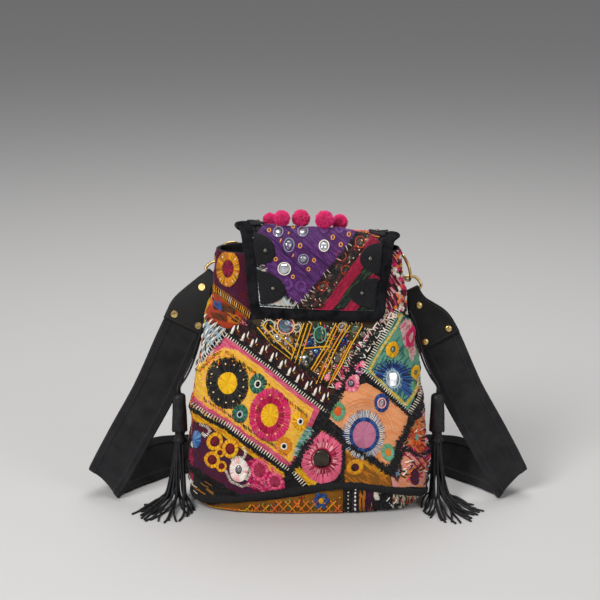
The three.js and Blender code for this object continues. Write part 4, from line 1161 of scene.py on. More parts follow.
class Needle:
    """Stitches on a surface, told by pixels and by how high they stand on the cloth."""

    def __init__(self, surface, seed):
        self.surface, self.chance, self.made = surface, random.Random(seed), []

    def stitch(self, places, lift, radius, colour):
        places = np.asarray(places, dtype=float)
        self.made.append((places, np.broadcast_to(lift, len(places)), radius, colour))

    def short(self, a, b, lift, radius, colour, bow=0.3):
        a, b = np.asarray(a, dtype=float), np.asarray(b, dtype=float)
        self.stitch([a, (a + b) / 2, b], lift + np.array([-0.35, bow, -0.35]), radius, colour)

    def disc(self, px, py, rx, ry, inner, outer, colours, lift, bulge, step=0.85, radius=0.52):
        """Satin stitches that run outwards between two ovals."""
        count = int(math.pi * (rx + ry) * outer / step)
        share = np.array([0, 0.33, 0.67, 1])
        rise = lift + bulge * np.sin(math.pi * (0.08 + 0.84 * share)) - 0.3
        for k in range(count):
            angle = 2 * math.pi * (k + self.chance.uniform(-0.3, 0.3)) / count
            reach = inner + (outer * self.chance.uniform(0.985, 1.015) - inner) * share
            places = np.stack([px + rx * reach * math.cos(angle), py + ry * reach * math.sin(angle)],
                axis=-1)
            self.stitch(places, rise, radius, self.chance.choice(colours))

    def rays(self, px, py, rx, ry, inner, outer, colours, count, lift, radius):
        for k in range(count):
            angle = 2 * math.pi * (k + self.chance.uniform(-0.15, 0.15)) / count
            ends = [
                (px + rx * t * math.cos(angle), py + ry * t * math.sin(angle))
                for t in (inner, outer * self.chance.uniform(0.94, 1.06))
            ]
            self.short(*ends, lift, radius, self.chance.choice(colours))

    def rope(self, line, colour, lift, radius):
        """One cord laid along a line."""
        line = np.asarray(line, dtype=float)
        length = np.concatenate([[0], np.cumsum(np.linalg.norm(np.diff(line, axis=0), axis=1))])
        at = np.linspace(0, length[-1], max(int(length[-1] / 2.2), 2) + 1)
        places = np.stack([np.interp(at, length, line[:, k]) for k in (0, 1)], axis=-1)
        rise = lift + 0.12 * np.sin(np.arange(len(at)) * 2.1)
        self.stitch(places, rise, radius, colour)

    def loop(self, px, py, rx, ry, colour, lift, radius):
        self.rope([*oval(px, py, rx, ry, 20), (px + rx, py)], colour, lift, radius)

    def running(self, line, colour, step, share, lift, radius):
        places, _, along = walk(line, step)
        for place, way in zip(places, along):
            half = way * step * share / 2
            self.short(place - half, place + half, lift, radius, colour)

    def teeth(self, line, reach, colours, step, lift, radius, lean=0.0, ragged=0.12):
        """Stitches side by side across a line. reach says how far to each side."""
        places, beside, along = walk(line, step)
        for place, across, way in zip(places, beside, along):
            low, high = (r * self.chance.uniform(1 - ragged, 1 + ragged) for r in reach)
            shift = way * lean * (high - low) / 2
            self.short(
                place + across * low - shift, place + across * high + shift, lift, radius,
                self.chance.choice(colours), 0.35,
            )

    def blanket(self, line, reach, colours, step, lift, radius):
        """Rough crossing stitches that hide a seam."""
        places, beside, along = walk(line, step)
        for place, across, way in zip(places, beside, along):
            skew = way * self.chance.uniform(-1.4, 1.4)
            low, high = -reach * self.chance.uniform(0.45, 1.15), reach * self.chance.uniform(0.45, 1.15)
            rise = lift + self.chance.uniform(-0.2, 0.35)
            self.short(place + across * low - skew, place + across * high + skew, rise, radius,
                       self.chance.choice(colours), 0.4)

    def knots(self, places, colour, size, lift):
        for px, py in places:
            angle = self.chance.uniform(0, math.pi)
            half = np.array([math.cos(angle), math.sin(angle)]) * size * 0.7
            centre = np.array([px, py])
            rise = lift + size * 0.3
            self.stitch([centre - half, centre, centre + half], [rise - 0.2, rise, rise - 0.2],
                        [size * 0.45, size * 0.8, size * 0.45], colour)

    def grains(self, places, reach, width, colour, lift):
        """Long plump stitches, thickest in their middle."""
        for px, py in places:
            centre, half = np.array([px, py]), np.array(reach) / 2 * self.chance.uniform(0.85, 1.15)
            line = [centre - half, centre - half / 2, centre, centre + half / 2, centre + half]
            self.stitch(line, lift + np.array([-0.5, 0.1, 0.3, 0.1, -0.5]),
                        np.array([0.35, 0.85, 1, 0.8, 0.3]) * width / 2, colour)

    def fill(self, outline, aim, colours, step=1.15, length=7.0, lift=1.05, radius=0.5):
        """Rows of short stitches that cover an outline."""
        turn = math.radians(aim)
        along, across = np.array([math.cos(turn), math.sin(turn)]), np.array([-math.sin(turn),
            math.cos(turn)])
        outline = np.array(outline, dtype=float)
        u, v = outline @ along, outline @ across
        for row in np.arange(v.min() + step / 2, v.max(), step):
            above = v > row
            cross = [
                u[k] + (u[(k + 1) % len(u)] - u[k]) * (row - v[k]) / (v[(k + 1) % len(u)] - v[k])
                for k in range(len(u)) if above[k] != above[(k + 1) % len(u)]
            ]
            for low, high in zip(sorted(cross)[::2], sorted(cross)[1::2]):
                at = low + 0.3
                while at < high - 0.6:
                    end = min(at + length * self.chance.uniform(0.6, 1.3), high - 0.3)
                    wave = 0.15 * self.chance.uniform(-1, 1)
                    self.short(along * at + across * (row + wave), along * end + across * (row - wave),
                               lift, radius, self.chance.choice(colours), 0.15)
                    at = end + 0.35

    def put(self, name, slot="patchwork", sides=4):
        every = np.concatenate([places for places, _, _, _ in self.made])
        rise = np.concatenate([lift for _, lift, _, _ in self.made])
        points = self.surface.at(*self.surface.find(every[:, 0], every[:, 1]), rise)
        lines, start = [], 0
        for places, _, radius, colour in self.made:
            stop = start + len(places)
            lines.append({"points": points[start:stop], "radius": radius, "dye": colour})
            start = stop
        return put(name, threads(name, lines, sides), thread_finish, slot)


scrap_finish = Finish("patchwork cotton", roughness=0.85, sheen_weight=0.06, specular_ior_level=0.12)
scrap_uv = scrap_finish.place("UV")
scrap_warp = scrap_finish.wave(scrap_uv, "X", 0.45, 0.8)
scrap_weft = scrap_finish.wave(scrap_uv, "Y", 0.45, 0.8)
scrap_fade = scrap_finish.noise(scrap_uv, 0.09, 4, 0.6)
scrap_fleck = scrap_finish.noise(scrap_uv, 0.8, 3, 0.7)
scrap_tone = scrap_finish.ramp(
    scrap_fade * 0.5 + scrap_fleck * 0.5, (0.3, (0.55, 0.5, 0.5)), (0.5, (0.9, 0.9, 0.9)),
    (0.75, (1.2, 1.16, 1.1))
)
scrap_finish.give(
    base_color=scrap_finish.mix(1.0, scrap_finish.attribute("dye"), scrap_tone, "MULTIPLY"),
    normal=scrap_finish.bump(scrap_warp + scrap_weft + scrap_fleck, 0.6, 0.0005),
)

mirror_finish = Finish("shisha mirror", roughness=0.16, metallic=0.75)
mirror_place = mirror_finish.place()
mirror_cloud = mirror_finish.noise(mirror_place, 150, 3)
mirror_tone = mirror_finish.ramp(mirror_cloud, (0.3, (0.6, 0.6, 0.62)), (0.7, (1.05, 1.05, 1.05)))
mirror_finish.give(
    base_color=mirror_finish.mix(1.0, mirror_finish.attribute("dye"), mirror_tone, "MULTIPLY"),
    roughness=mirror_finish.level(mirror_cloud, 0.3, 0.7, 0.12, 0.34),
)

thread_place = thread_finish.place()
thread_finish.give(normal=thread_finish.bump(thread_finish.noise(thread_place, 2600, 2), 0.5, 0.0002))

BLACK = dye("0c0b0c")
SOOT = dye("1d1a1b")
CHARCOAL = dye("2e2a2a")
WHITE = dye("e9e2d4")
BONE = dye("c9bda6")
SILVER = dye("b9b8bc")
YELLOW, GOLD, AMBER, OCHRE = dye("e6b914"), dye("d59a14"), dye("c9771c"), dye("8f5c16")
ORANGE, RUST, PEACH, APRICOT = dye("e06a26"), dye("b53e1c"), dye("eaa877"), dye("e8975c")
PINK, ROSE, HOT, BLUSH = dye("dd6a86"), dye("c94a6c"), dye("d11f63"), dye("e9a6a8")
MAGENTA, CRIMSON, WINE, PLUM = dye("bb1550"), dye("8f0f34"), dye("561024"), dye("43183a")
PURPLE, VIOLET = dye("51255f"), dye("6a3a7e")
NAVY, BLUE, SKY, ICE = dye("1c2c66"), dye("2b568f"), dye("6f94b8"), dye("a9bcc6")
TEAL, SEA, LEAF, MOSS, PINE = dye("2f6a62"), dye("6ba48c"), dye("5a8a4e"), dye("41512c"), dye("1d332a")

front = Quilt(pouch)
glass = Quilt(pouch)
fields = Needle(pouch, 11)
work = Needle(pouch, 12)
seams = Needle(pouch, 13)

# Patches of the front: outline, colour, how high it lies, and how its rows of stitches run
FRONT_PATCHES = [
    {"dye": WINE, "aim": 60, "fill": [WINE, PLUM],
    "outline": [(204, 240), (244, 246), (252, 316), (214, 291), (202, 288)]},
    {"dye": RUST, "aim": 35, "outline": [(200, 290), (214, 292), (249, 318), (249, 326), (228, 330),
    (196, 320)]},
    {"dye": ICE, "aim": -50, "outline": [(194, 318), (229, 329), (226, 336), (200, 362), (186, 360)]},
    {"dye": PINK, "aim": 37, "fill": [PINK, ROSE], "outline": [
        (225.5, 336), (320, 409), (292, 468), (192, 403), (180, 396), (182, 370), (200, 362)]},
    {"dye": dye("eac42a"), "aim": 37, "lift": 0.8, "fill": [dye("ecc52a"), YELLOW, dye("efca3c")],
    "outline": [
        (224, 347), (237.8, 350.4), (313.5, 409.5), (292, 461), (206, 405.5), (188, 394), (186, 380),
        (197, 365)]},
    {"dye": dye("2c1216"), "aim": 37, "fill": [dye("2c1216"), WINE, SOOT, dye("4a2a18")],
    "outline": [(226, 330), (244, 320), (268, 336), (334, 386), (329, 408)]},
    {"dye": dye("463c2a"), "aim": 30, "outline": [(246, 322), (262, 318), (380, 320), (384, 326),
    (331, 400), (262, 336)]},
    {"dye": GOLD, "aim": 37, "lift": 0.6, "fill": [GOLD, YELLOW, AMBER], "outline": [
        (182, 402), (194, 405), (236, 434), (286, 472), (284, 480), (238, 446), (205, 424), (184, 418)]},
    {"dye": PLUM, "aim": 20, "fill": [PLUM, WINE], "outline": [
        (180, 416), (205, 424), (238, 446), (286, 484), (286, 496), (246, 498), (212, 481), (180, 462)]},
    {"dye": SOOT, "aim": -35, "outline": [(178, 458), (213, 481), (246, 500), (180, 500)]},
    {"dye": SOOT, "aim": 0, "outline": [(318, 424), (345, 446), (346, 482), (296, 494), (284, 484),
    (292, 468)]},
    {"dye": OCHRE, "aim": 38, "fill": [OCHRE, AMBER, OCHRE], "outline": [
        (341, 440), (389, 476), (392, 490), (362, 482), (340, 482)]},
    {"dye": GOLD, "aim": 40, "lift": 0.9, "fill": [GOLD, AMBER], "outline": [
        (316, 427), (321, 424), (350, 446), (388, 474), (384, 478), (345, 452)]},
    {"dye": GOLD, "aim": 35, "lift": 0.9, "fill": [GOLD, YELLOW], "outline": [
        (292, 468), (297, 463), (318, 482), (312, 489)]},
    {"dye": PEACH, "aim": 25, "lift": 0.6, "fill": [PEACH, PEACH, APRICOT], "outline": [
        (325, 415), (339, 393), (352, 387), (367, 383), (386, 394), (407, 413), (403, 436), (386, 468)]},
    {"dye": SEA, "aim": -55, "lift": 0.6, "fill": [SEA, SEA, TEAL], "outline": [
        (399, 311), (413, 322), (424, 340), (426, 372), (407, 411), (366, 371), (382, 340)]},
    {"dye": SOOT, "aim": -50, "lift": 0.2, "outline": [
        (384, 320), (394, 300), (408, 298), (400, 314), (366, 372), (352, 390), (331, 402)]},
    {"dye": dye("6e2438"), "aim": 60, "fill": [ROSE, SOOT, CRIMSON, SOOT, BLUSH],
    "outline": [(394, 246), (408, 250), (414, 300), (398, 310), (388, 322), (378, 324)]},
    {"dye": PLUM, "aim": 70, "outline": [(407, 413), (424, 380), (440, 372), (440, 420), (404, 437)]},
    {"dye": ORANGE, "aim": 60, "fill": [ORANGE, APRICOT, PEACH], "outline": [
        (404, 436), (412, 420), (440, 410), (440, 448), (418, 456), (401, 446)]},
    {"dye": APRICOT, "aim": 45, "fill": [APRICOT, BLUSH, PEACH], "outline": [
        (389, 473), (401, 446), (418, 456), (440, 448), (440, 488), (410, 486), (392, 488)]},
]
for patch in FRONT_PATCHES:
    lift = patch.get("lift", 0.35)
    front.lay(patch["outline"], patch["dye"], lift, 0.5, patch["aim"])
    if "fill" in patch:
        fields.fill(patch["outline"], patch["aim"], patch["fill"], lift=lift + 0.75)

# Rings and flowers in satin stitch, drawn from the inside out: each band's reach is a
# share of the whole oval.
MEDALLIONS = [
    (227.3, 383, 21, 26, BLACK, [
        (0.0, 0.42, [YELLOW, GOLD, YELLOW]), (0.42, 1.0, [SOOT, BLACK, CHARCOAL])]),
    (270.6, 414.4, 21, 26.4, CRIMSON, [
        (0.0, 0.42, [YELLOW, GOLD]), (0.42, 0.7, [MAGENTA, CRIMSON]), (0.7, 1.0, [HOT, MAGENTA, ROSE])]),
    (257.3, 383.5, 8.5, 10, PINE, [(0.35, 1.0, [dye("2c6350"), dye("3b7a64"), PINE])]),
    (240.3, 413.5, 8, 9.5, PINE, [(0.35, 1.0, [dye("2c6350"), dye("3b7a64"), PINE])]),
    (300.6, 419.5, 7.4, 9, AMBER, [(0.35, 1.0, [AMBER, GOLD, YELLOW])]),
    (285, 444, 8.2, 9.5, AMBER, [(0.35, 1.0, [AMBER, GOLD, AMBER])]),
    (322, 457, 21, 26, ROSE, [
        (0.42, 0.66, [BLUSH, CRIMSON, ROSE]), (0.64, 1.0, [PINK, PINK, ROSE])]),
    (363, 434.4, 21, 24.5, NAVY, [
        (0.0, 0.56, [dye("c07a94"), dye("b56b88")]), (0.56, 0.74, [NAVY, BLUE])]),
    (381, 402.5, 7.5, 9.5, NAVY, [(0.5, 1.0, [NAVY, BLUE])]),
    (337, 410.6, 7.4, 9.6, LEAF, [
        (0.0, 0.5, [ORANGE, RUST]), (0.5, 1.0, [LEAF, SEA])]),
    (387, 452, 6.4, 8.5, LEAF, [(0.0, 0.45, [AMBER]), (0.45, 1.0, [LEAF, SEA])]),
    (392.5, 349.4, 6.6, 8, YELLOW, [(0.45, 1.0, [YELLOW, GOLD])]),
    (415.6, 372.5, 4.4, 7, YELLOW, [(0.4, 1.0, [YELLOW, GOLD])]),
    (229, 268.5, 11, 18, OCHRE, [
        (0.0, 0.45, [WINE, CRIMSON]), (0.52, 1.0, [GOLD, OCHRE, AMBER])]),
    (197.5, 439, 6.4, 8.5, BLUE, [(0.0, 1.0, [BLUE, BLUE, SKY])]),
    (239.5, 468.5, 9, 11.5, BLUSH, [(0.4, 1.0, [dye("e2cdd0"), BLUSH, WHITE])]),
    (260, 470, 8.4, 10, WINE, [(0.0, 0.7, [dye("9a3450"), CRIMSON]), (0.72, 1.0, [PINK, HOT])]),
    (275, 481, 8, 8.5, WINE, [(0.0, 0.68, [dye("96304e"), CRIMSON]), (0.7, 1.0, [HOT, PINK])]),
    (351, 383, 8.5, 8.5, BLUSH, [(0.5, 1.0, [BLUSH, PINK, ROSE])]),
    (354, 466, 8.5, 8, OCHRE, [(0.0, 0.5, [WINE, SOOT]), (0.5, 1.0, [GOLD, AMBER])]),
    (413, 476, 5, 8, PLUM, [(0.0, 1.0, [PLUM, WINE])]),
    (416, 437, 6, 9, ORANGE, [(0.0, 0.4, [SEA]), (0.4, 1.0, [ORANGE, RUST])]),
]
for px, py, rx, ry, ground, bands in MEDALLIONS:
    front.lay(oval(px, py, rx * 0.98, ry * 0.98), ground, 1.0, 0.6, cell=4.4)
    for inner, outer, colours in bands:
        work.disc(px, py, rx, ry, inner, outer, colours, 1.75, 0.75)

# Beads and mirrors: place and half sizes, the glass's colour, and the thread on its rim
BEADS = [
    (257.5, 383.8, 2.6, 3, SOOT, WHITE),
    (240.5, 413.8, 2.4, 2.8, SOOT, ICE),
    (300.8, 419.8, 2.2, 2.6, SOOT, WHITE),
    (285.3, 444.4, 2.4, 2.8, SOOT, WHITE),
    (320.8, 457, 9.4, 9.8, dye("4a4038"), CRIMSON),
    (381, 402.5, 3.7, 4.7, dye("c9bcc0"), BLUSH),
    (393, 379, 6, 8.4, dye("f2f4f6"), ICE),
    (392.5, 349.4, 3, 3.6, dye("8d9a98"), GOLD),
    (239.5, 468.5, 3.6, 4.4, dye("9c9498"), WHITE),
    (351, 383, 4, 4.2, dye("8d8890"), PINK),
]
NET_MIRRORS = [
    (286, 325.5, 8, 8, dye("8093a6"), PEACH),
    (287.5, 341, 5.2, 5.2, SILVER, OCHRE),
    (278, 337, 3, 3, SILVER, BONE),
    (303.5, 360.5, 6, 6.4, dye("c4cbd2"), MOSS),
    (269.5, 325.6, 5.4, 5.4, CHARCOAL, BONE),
    (320, 334.4, 5.6, 7.6, dye("3f7a68"), SEA),
    (355, 329.4, 5.2, 5.2, dye("6f7f70"), MOSS),
    (338.5, 357.5, 5.8, 6, dye("8a8478"), SOOT),
    (310, 343.4, 3.8, 4, BLUE, NAVY),
    (343, 341, 3.8, 4, BLUE, NAVY),
    (316, 351, 3.2, 3.4, SKY, NAVY),
    (350.6, 347.5, 3, 3.2, BLUE, SOOT),
    (297, 345, 3.4, 3.6, SILVER, SOOT),
    (329, 348, 3.2, 3.4, dye("7a8a86"), MOSS),
    (270, 340, 2.8, 2.8, dye("86643a"), OCHRE),
    (364, 335, 4.4, 4.6, dye("7c7a6c"), SOOT),
    (327, 366, 4.4, 4.8, dye("6f7a74"), OCHRE),
    (342, 326.5, 3.4, 3.4, SILVER, BONE),
    (346.5, 352.5, 3.6, 3.8, dye("93a0a8"), OCHRE),
    (311, 359, 3.4, 3.6, dye("8a8478"), SOOT),
    (332, 329.5, 3.6, 3.8, dye("a8a294"), SOOT),
    (319, 375, 3.6, 3.8, SILVER, OCHRE),
    (297, 328, 3.4, 3.6, dye("5c6a60"), BONE),
    (339, 368, 3.4, 3.6, dye("c4cbd2"), ROSE),
]
for rows, lift in ((BEADS, 2.3), (NET_MIRRORS, 1.3)):
    for px, py, rx, ry, colour, rim in rows:
        glass.lay(oval(px, py, rx, ry, 18), colour, lift, 0.25, cell=6)
        work.loop(px, py, rx + 0.4, ry + 0.4, rim, lift + 0.3, 0.75)
for px, py, rx, ry, colour, rim in NET_MIRRORS:
    work.rays(px, py, rx + 2, ry + 2, 0.75, 1.15, [rim, BONE, SOOT], 18, 1.4, 0.5)

# White and cream knots round the large rings
def bow(px, py, rx, ry, first, last, count):
    return [(px + rx * math.cos(a), py + ry * math.sin(a)) for a in np.linspace(first, last, count)]


GOLD_RING_KNOTS = [(224, 257), (236, 259), (222, 279), (228, 284), (234, 281), (238, 274)]
work.knots(bow(227.3, 383, 15.5, 19.5, 0.2, 6.1, 13), dye("e6cf9a"), 1.15, 2.4)
work.knots(bow(270.6, 414.4, 15, 19.5, 0.5, 5.9, 10), PEACH, 1.3, 2.4)
work.knots(GOLD_RING_KNOTS, WHITE, 0.9, 2.4)

# The great disc's rays, the flower's dark stitches and the fan round the white mirror
work.rays(363, 434.4, 21, 24.5, 0.72, 0.97, [WHITE, ICE, WHITE], 70, 2.2, 0.42)
work.rays(363, 434.4, 21, 24.5, 0.8, 1.02, [BLUE, SKY], 60, 1.9, 0.4)
work.rays(322, 457, 21, 26, 0.62, 0.8, [WINE, BLACK], 20, 2.5, 0.35)
fan = [(366, 371), (374, 361), (388, 357), (400, 362), (410, 374), (414, 388), (406, 408), (386, 391)]
front.lay(fan, NAVY, 0.9, 0.4, -55)
for k, angle in enumerate(np.linspace(-2.9, 0.75, 46)):
    reach = 1.0 if k % 2 else 0.86
    work.short((393 + 9 * math.cos(angle), 380 + 11 * math.sin(angle)),
               (393 + 23 * reach * math.cos(angle), 383 + 23 * reach * math.sin(angle)),
               1.7, 0.75, work.chance.choice([NAVY, NAVY, BLUE, dye("16244f")]))
work.rays(393, 379, 9.5, 12, 0.66, 1.0, [ICE, SKY, BLUE], 40, 2.0, 0.45)

# The pale leaf of the green patch, the teal crescent and the peach field's quilting
pale_leaf = [(398, 326), (405, 318), (412, 322), (418, 334), (419, 350), (412, 362), (408, 352), (402, 340)]
front.lay(pale_leaf, BLUSH, 0.95, 0.5, -40)
work.fill(pale_leaf, -55, [BLUSH, dye("f0c0bc"), PINK], lift=1.7, length=5)
work.disc(411, 337.5, 6.2, 9.5, 0.55, 1.0, [HOT, MAGENTA], 2.4, 0.9)
crescent = [(309, 424), (314, 430), (309, 444), (300, 456), (293, 452), (297, 440), (303, 430)]
front.lay(crescent, SEA, 1.0, 0.5, 30)
work.fill(crescent, 20, [SEA, SEA, ICE, TEAL], lift=1.8, length=6)
for reach in (1.18, 1.32, 1.46):
    arc = bow(363, 434, 21 * reach, 24.5 * reach, -2.75, -0.1, 40)
    work.running(arc, dye("c98a5c"), 2.6, 0.6, 1.75, 0.4)
for px, py in [(408, 352), (412, 386), (419, 352)]:
    work.disc(px, py, 3.4, 5, 0.0, 1.0, [LEAF, SEA], 1.6, 0.5)

# Trefoils, scrolls and the pink ground of the plum patch
TREFOILS = [(216, 441, 6, 7), (231, 448, 6.5, 7.5), (213.5, 459, 5.5, 7), (221, 452, 3, 3),
    (222, 466, 3.5, 4)]
for px, py, rx, ry in TREFOILS:
    front.lay(oval(px, py, rx, ry, 18), dye("7a161e"), 1.0, 0.5, cell=4)
    work.disc(px, py, rx, ry, 0.0, 0.6, [dye("7a161e"), WINE], 1.7, 0.4)
    work.disc(px, py, rx + 1.6, ry + 1.6, 0.6, 1.0, [GOLD, YELLOW, AMBER], 1.9, 0.5)
pink_ground = [(246, 462), (262, 456), (284, 476), (285, 488), (262, 492), (246, 484), (250, 472)]
front.lay(pink_ground, HOT, 0.8, 0.4, 20)
work.fill(pink_ground, 30, [HOT, PINK, MAGENTA], lift=1.35, length=4)
SCROLLS = [
    [(200, 424), (206, 426), (210, 431), (207, 436), (203, 432)],
    [(244, 446), (247, 452), (244, 458), (238, 456), (232, 460)],
    [(226, 470), (232, 480), (242, 485), (250, 482)],
    [(247, 466), (251, 472), (247, 478)],
]
for scroll in SCROLLS:
    work.teeth(scroll, (-1.2, 1.2), [WHITE, BONE], 1.5, 1.7, 0.5)

# Strokes of the rice band, the ladder braid and the dark corner's straws
RICE = [
    (233, 330), (243, 337), (252, 343), (262, 350), (272, 357), (281, 364.5), (289.5, 371.5),
    (298, 378), (306.5, 385), (315, 391), (323, 397),
]
work.grains(RICE, (3.2, -8.5), 3.0, WHITE, 1.7)
for x, y in RICE:
    bend = work.chance.uniform(-1.2, 1.2)
    work.grains([(x - 1.6, y + 3.2)], (-3.4, -1.2 + bend), 2.2, BONE, 1.7)
    work.grains([(x + 4.6, y - 2.4)], (2.0 + bend, -5.6), 1.8, WHITE, 1.5)
work.knots([(x + 5, y + 1.5) for x, y in RICE], GOLD, 0.9, 1.3)
braid = [(212, 287), (222, 294), (236, 304), (250, 315)]
front.lay(band(braid, 6.5), BLACK, 0.8, 0.4)
work.teeth(braid, (-2.4, 2.4), [GOLD, AMBER, BONE], 2.3, 1.6, 0.55, 0.5)
for shift in (-3.4, 3.4):
    work.rope([(x + shift * 0.6, y - shift * 0.8) for x, y in braid], OCHRE, 1.5, 0.5)
for k in range(26):
    px, py = 190 + fields.chance.uniform(0, 34), 468 + fields.chance.uniform(0, 26)
    if py > 462 + (px - 190) * 0.72:
        work.short((px, py), (px + 7, py + 5), 1.2, 0.55, work.chance.choice([OCHRE, BONE, dye("6b4a2c")]))

# Blocks of silk and the leaf shapes at the left
BLOCKS = [
    (BLUE, [(212, 300), (222, 302), (224, 311), (213, 309)]),
    (ORANGE, [(206, 291), (213, 293), (211, 307), (203, 304)]),
    (dye("5a3218"), [(222, 302), (236, 308), (236, 317), (222, 312)]),
    (AMBER, [(228, 312), (241, 316), (242, 325), (229, 322)]),
    (PINK, [(242, 316), (249, 319), (249, 326), (242, 325)]),
    (dye("5a3218"), [(211, 312), (228, 314), (228, 322), (212, 318)]),
]
for colour, outline in BLOCKS:
    front.lay(outline, colour, 0.75, 0.4, 30)
    work.fill(outline, 38, [colour, colour, SOOT], lift=1.3, length=4)
PALE_LEAVES = [
    (211, 322, 60), (217, 329, 50), (208, 332, 70), (214, 339, 55), (205, 343, 65), (209, 350, 60),
    (202, 355, 60),
]
for px, py, aim in PALE_LEAVES:
    turn = math.radians(aim)
    half = np.array([math.cos(turn), -math.sin(turn)]) * 6
    for across in (-4.5, 0, 4.5):
        work.grains([(px + across, py + across * 0.7)], half * 1.25, 2.3, [WHITE, BONE][across > 0], 1.5)
        work.grains([(px + across + 2.2, py + across * 0.7 + 1.4)], half * 1.1, 1.3, SOOT, 1.5)

# The net over the mirrors: pairs of yellow cords, and small bits of red and cream
CORDS = [
    [(257.5, 327), (272, 344), (290, 358)], [(308, 323), (295, 362.5)], [(312, 323), (299, 364)],
    [(336, 323), (325, 346), (311, 369)], [(339, 324), (328, 348), (313, 371)],
    [(347, 324), (330, 352), (316, 383)],
    [(304, 348), (330, 346)], [(262, 324), (277, 341), (292, 355)],
    [(304, 323), (291, 360)], [(350, 325), (333, 354), (320, 382)], [(352, 341), (338, 366), (327, 388)],
    [(270, 325), (281, 336), (296, 350)], [(362, 326), (345, 358), (333, 380)],
]
for line in CORDS:
    work.rope(line, work.chance.choice([GOLD, dye("d8a62c"), AMBER]), 2.2, 0.8)
    work.running(line, YELLOW, 2.4, 0.5, 2.7, 0.4)
for k in range(420):
    px, py = 262 + work.chance.uniform(0, 108), 322 + work.chance.uniform(0, 72)
    if py - 322 < (372 - px) * 1.35 and py - 336 < (px - 262) * 0.8:
        colour = work.chance.choice([MOSS, OCHRE, BONE, dye("6e2a2a"), TEAL, CHARCOAL, GOLD, ROSE])
        turn = work.chance.uniform(0, math.pi)
        half = np.array([math.cos(turn), math.sin(turn)]) * 1.7
        work.short((px - half[0], py - half[1]), (px + half[0], py + half[1]), 1.3, 0.65, colour)

# Blossoms where the net meets the pink corner, and the dusty field above the peach
BLOSSOMS = [
    (356, 365, 4, HOT), (349, 371, 4, MAGENTA), (360, 372, 3.6, PURPLE), (344, 378, 3.5, ROSE),
    (363, 364, 3, PINK), (339, 386, 4, PINK), (357, 378, 3, BLUSH), (325, 366, 3, CRIMSON),
    (327, 377, 3, PINK),
]
for px, py, r, colour in BLOSSOMS:
    work.disc(px, py, r, r * 1.1, 0.0, 1.0, [colour, colour, BLUSH], 1.4, 0.9)
    work.knots([(px, py)], WHITE, 0.8, 2.4)

# Triangles of the fuzzy band, the red strokes at the right, and the dark leaf
for k in range(14):
    px, py = 388.5 - 4.55 * (k // 2) + 4.6 * (k % 2) - 3, 312 + 6.6 * (k // 2) + 3.4 * (k % 2)
    tip = -1 if (k // 2) % 2 else 1
    corners = [(px - 3.4, py + 2.6 * tip), (px + 3.4, py + 2.2 * tip), (px + 0.3, py - 3.4 * tip)]
    work.rope(corners + corners[:1], WHITE if k % 3 else BONE, 1.9, 0.75)
    front.lay([((x + px) / 2, (y + py) / 2) for x, y in corners], BLUSH if k % 3 else PINK, 1.2, 0.3,
        cell=6)
for k in range(5):
    a = np.array([399 + k * 5.5, 449 - k * 1.2])
    work.rope([a, a + (11, 11), a + (18, 20)], work.chance.choice([RUST, CRIMSON]), 1.9, 0.8)
dark_leaf = [(390, 474), (392, 462), (398, 458), (400, 468), (396, 482)]
front.lay(dark_leaf, CHARCOAL, 0.95, 0.4)
work.fill(dark_leaf, 70, [CHARCOAL, SKY, SOOT], lift=1.6, length=4)
for k in range(90):
    px, py = 392 + work.chance.uniform(0, 20), 254 + work.chance.uniform(0, 62)
    colour = work.chance.choice([HOT, WHITE, ORANGE, CRIMSON, BONE, SOOT, GOLD])
    work.disc(px, py, 1.9, 2.4, 0.0, 1.0, [colour], 1.2, 0.5, 1.1)
for k in range(130):
    px, py = work.chance.uniform(398, 430), work.chance.uniform(412, 484)
    if py > 436 - (px - 404) * 0.9:
        colour = work.chance.choice([SOOT, BLACK, WHITE, BLUSH, CRIMSON, ORANGE, HOT])
        work.short((px, py), (px + work.chance.uniform(2, 5), py - work.chance.uniform(-3, 5)), 1.9, 0.8,
            colour)
for k in range(20):
    work.short((414 + k * 0.5, 382 + k * 2), (421 + k * 0.4, 378 + k * 2), 1.2, 0.6,
        work.chance.choice([BLUSH, SOOT, ROSE, WHITE]))

# Borders: black bands with teeth of white thread, cream edges, and rough black seams
upper_teeth = [(226, 334), (262, 361), (328, 412)]
front.lay(band([(224, 331), (262, 359.5), (330, 411)], 7.5), BLACK, 0.9, 0.5)
seams.teeth(upper_teeth, (-2.6, 2.2), [WHITE, BONE, WHITE], 2.7, 1.9, 0.6)
lower_teeth = [(192, 404), (240, 433), (294, 472), (306, 486)]
front.lay(band([(190, 402), (240, 434), (294, 473), (308, 488)], 7.5), BLACK, 1.0, 0.5)
seams.teeth(lower_teeth, (-2.2, 2.4), [WHITE, BONE], 2.8, 1.9, 0.6)
left_teeth = [(198, 366), (212, 350), (227, 332)]
front.lay(band(left_teeth, 6), BLACK, 0.9, 0.4)
seams.teeth(left_teeth, (-4.5, 2.0), [WHITE, BONE, ICE], 3.2, 1.8, 0.6, -0.3, 0.3)
right_seam = [(328, 411), (310, 440), (292, 468), (286, 480)]
front.lay(band(right_seam, 7), BLACK, 1.0, 0.4)
leaf_edge = [(397, 309), (381, 339), (364, 370)]
front.lay(band(leaf_edge, 6), BLACK, 1.0, 0.4)
seams.teeth(leaf_edge, (-2.4, 2.4), [WHITE, BONE], 2.5, 1.9, 0.55)
leaf_foot = [(364, 371), (386, 392), (408, 413), (418, 398), (427, 378)]
front.lay(band(leaf_foot, 6), BLACK, 1.0, 0.4)
seams.teeth(leaf_foot, (-2.2, 2.2), [WHITE, BONE], 2.5, 1.9, 0.55)
cream_edge = [(402, 314), (386, 341), (370, 370), (388, 389), (405, 405), (414, 392), (422, 374)]
seams.teeth(cream_edge, (-1.3, 1.3), [dye("ded08e"), YELLOW], 1.5, 1.9, 0.6)
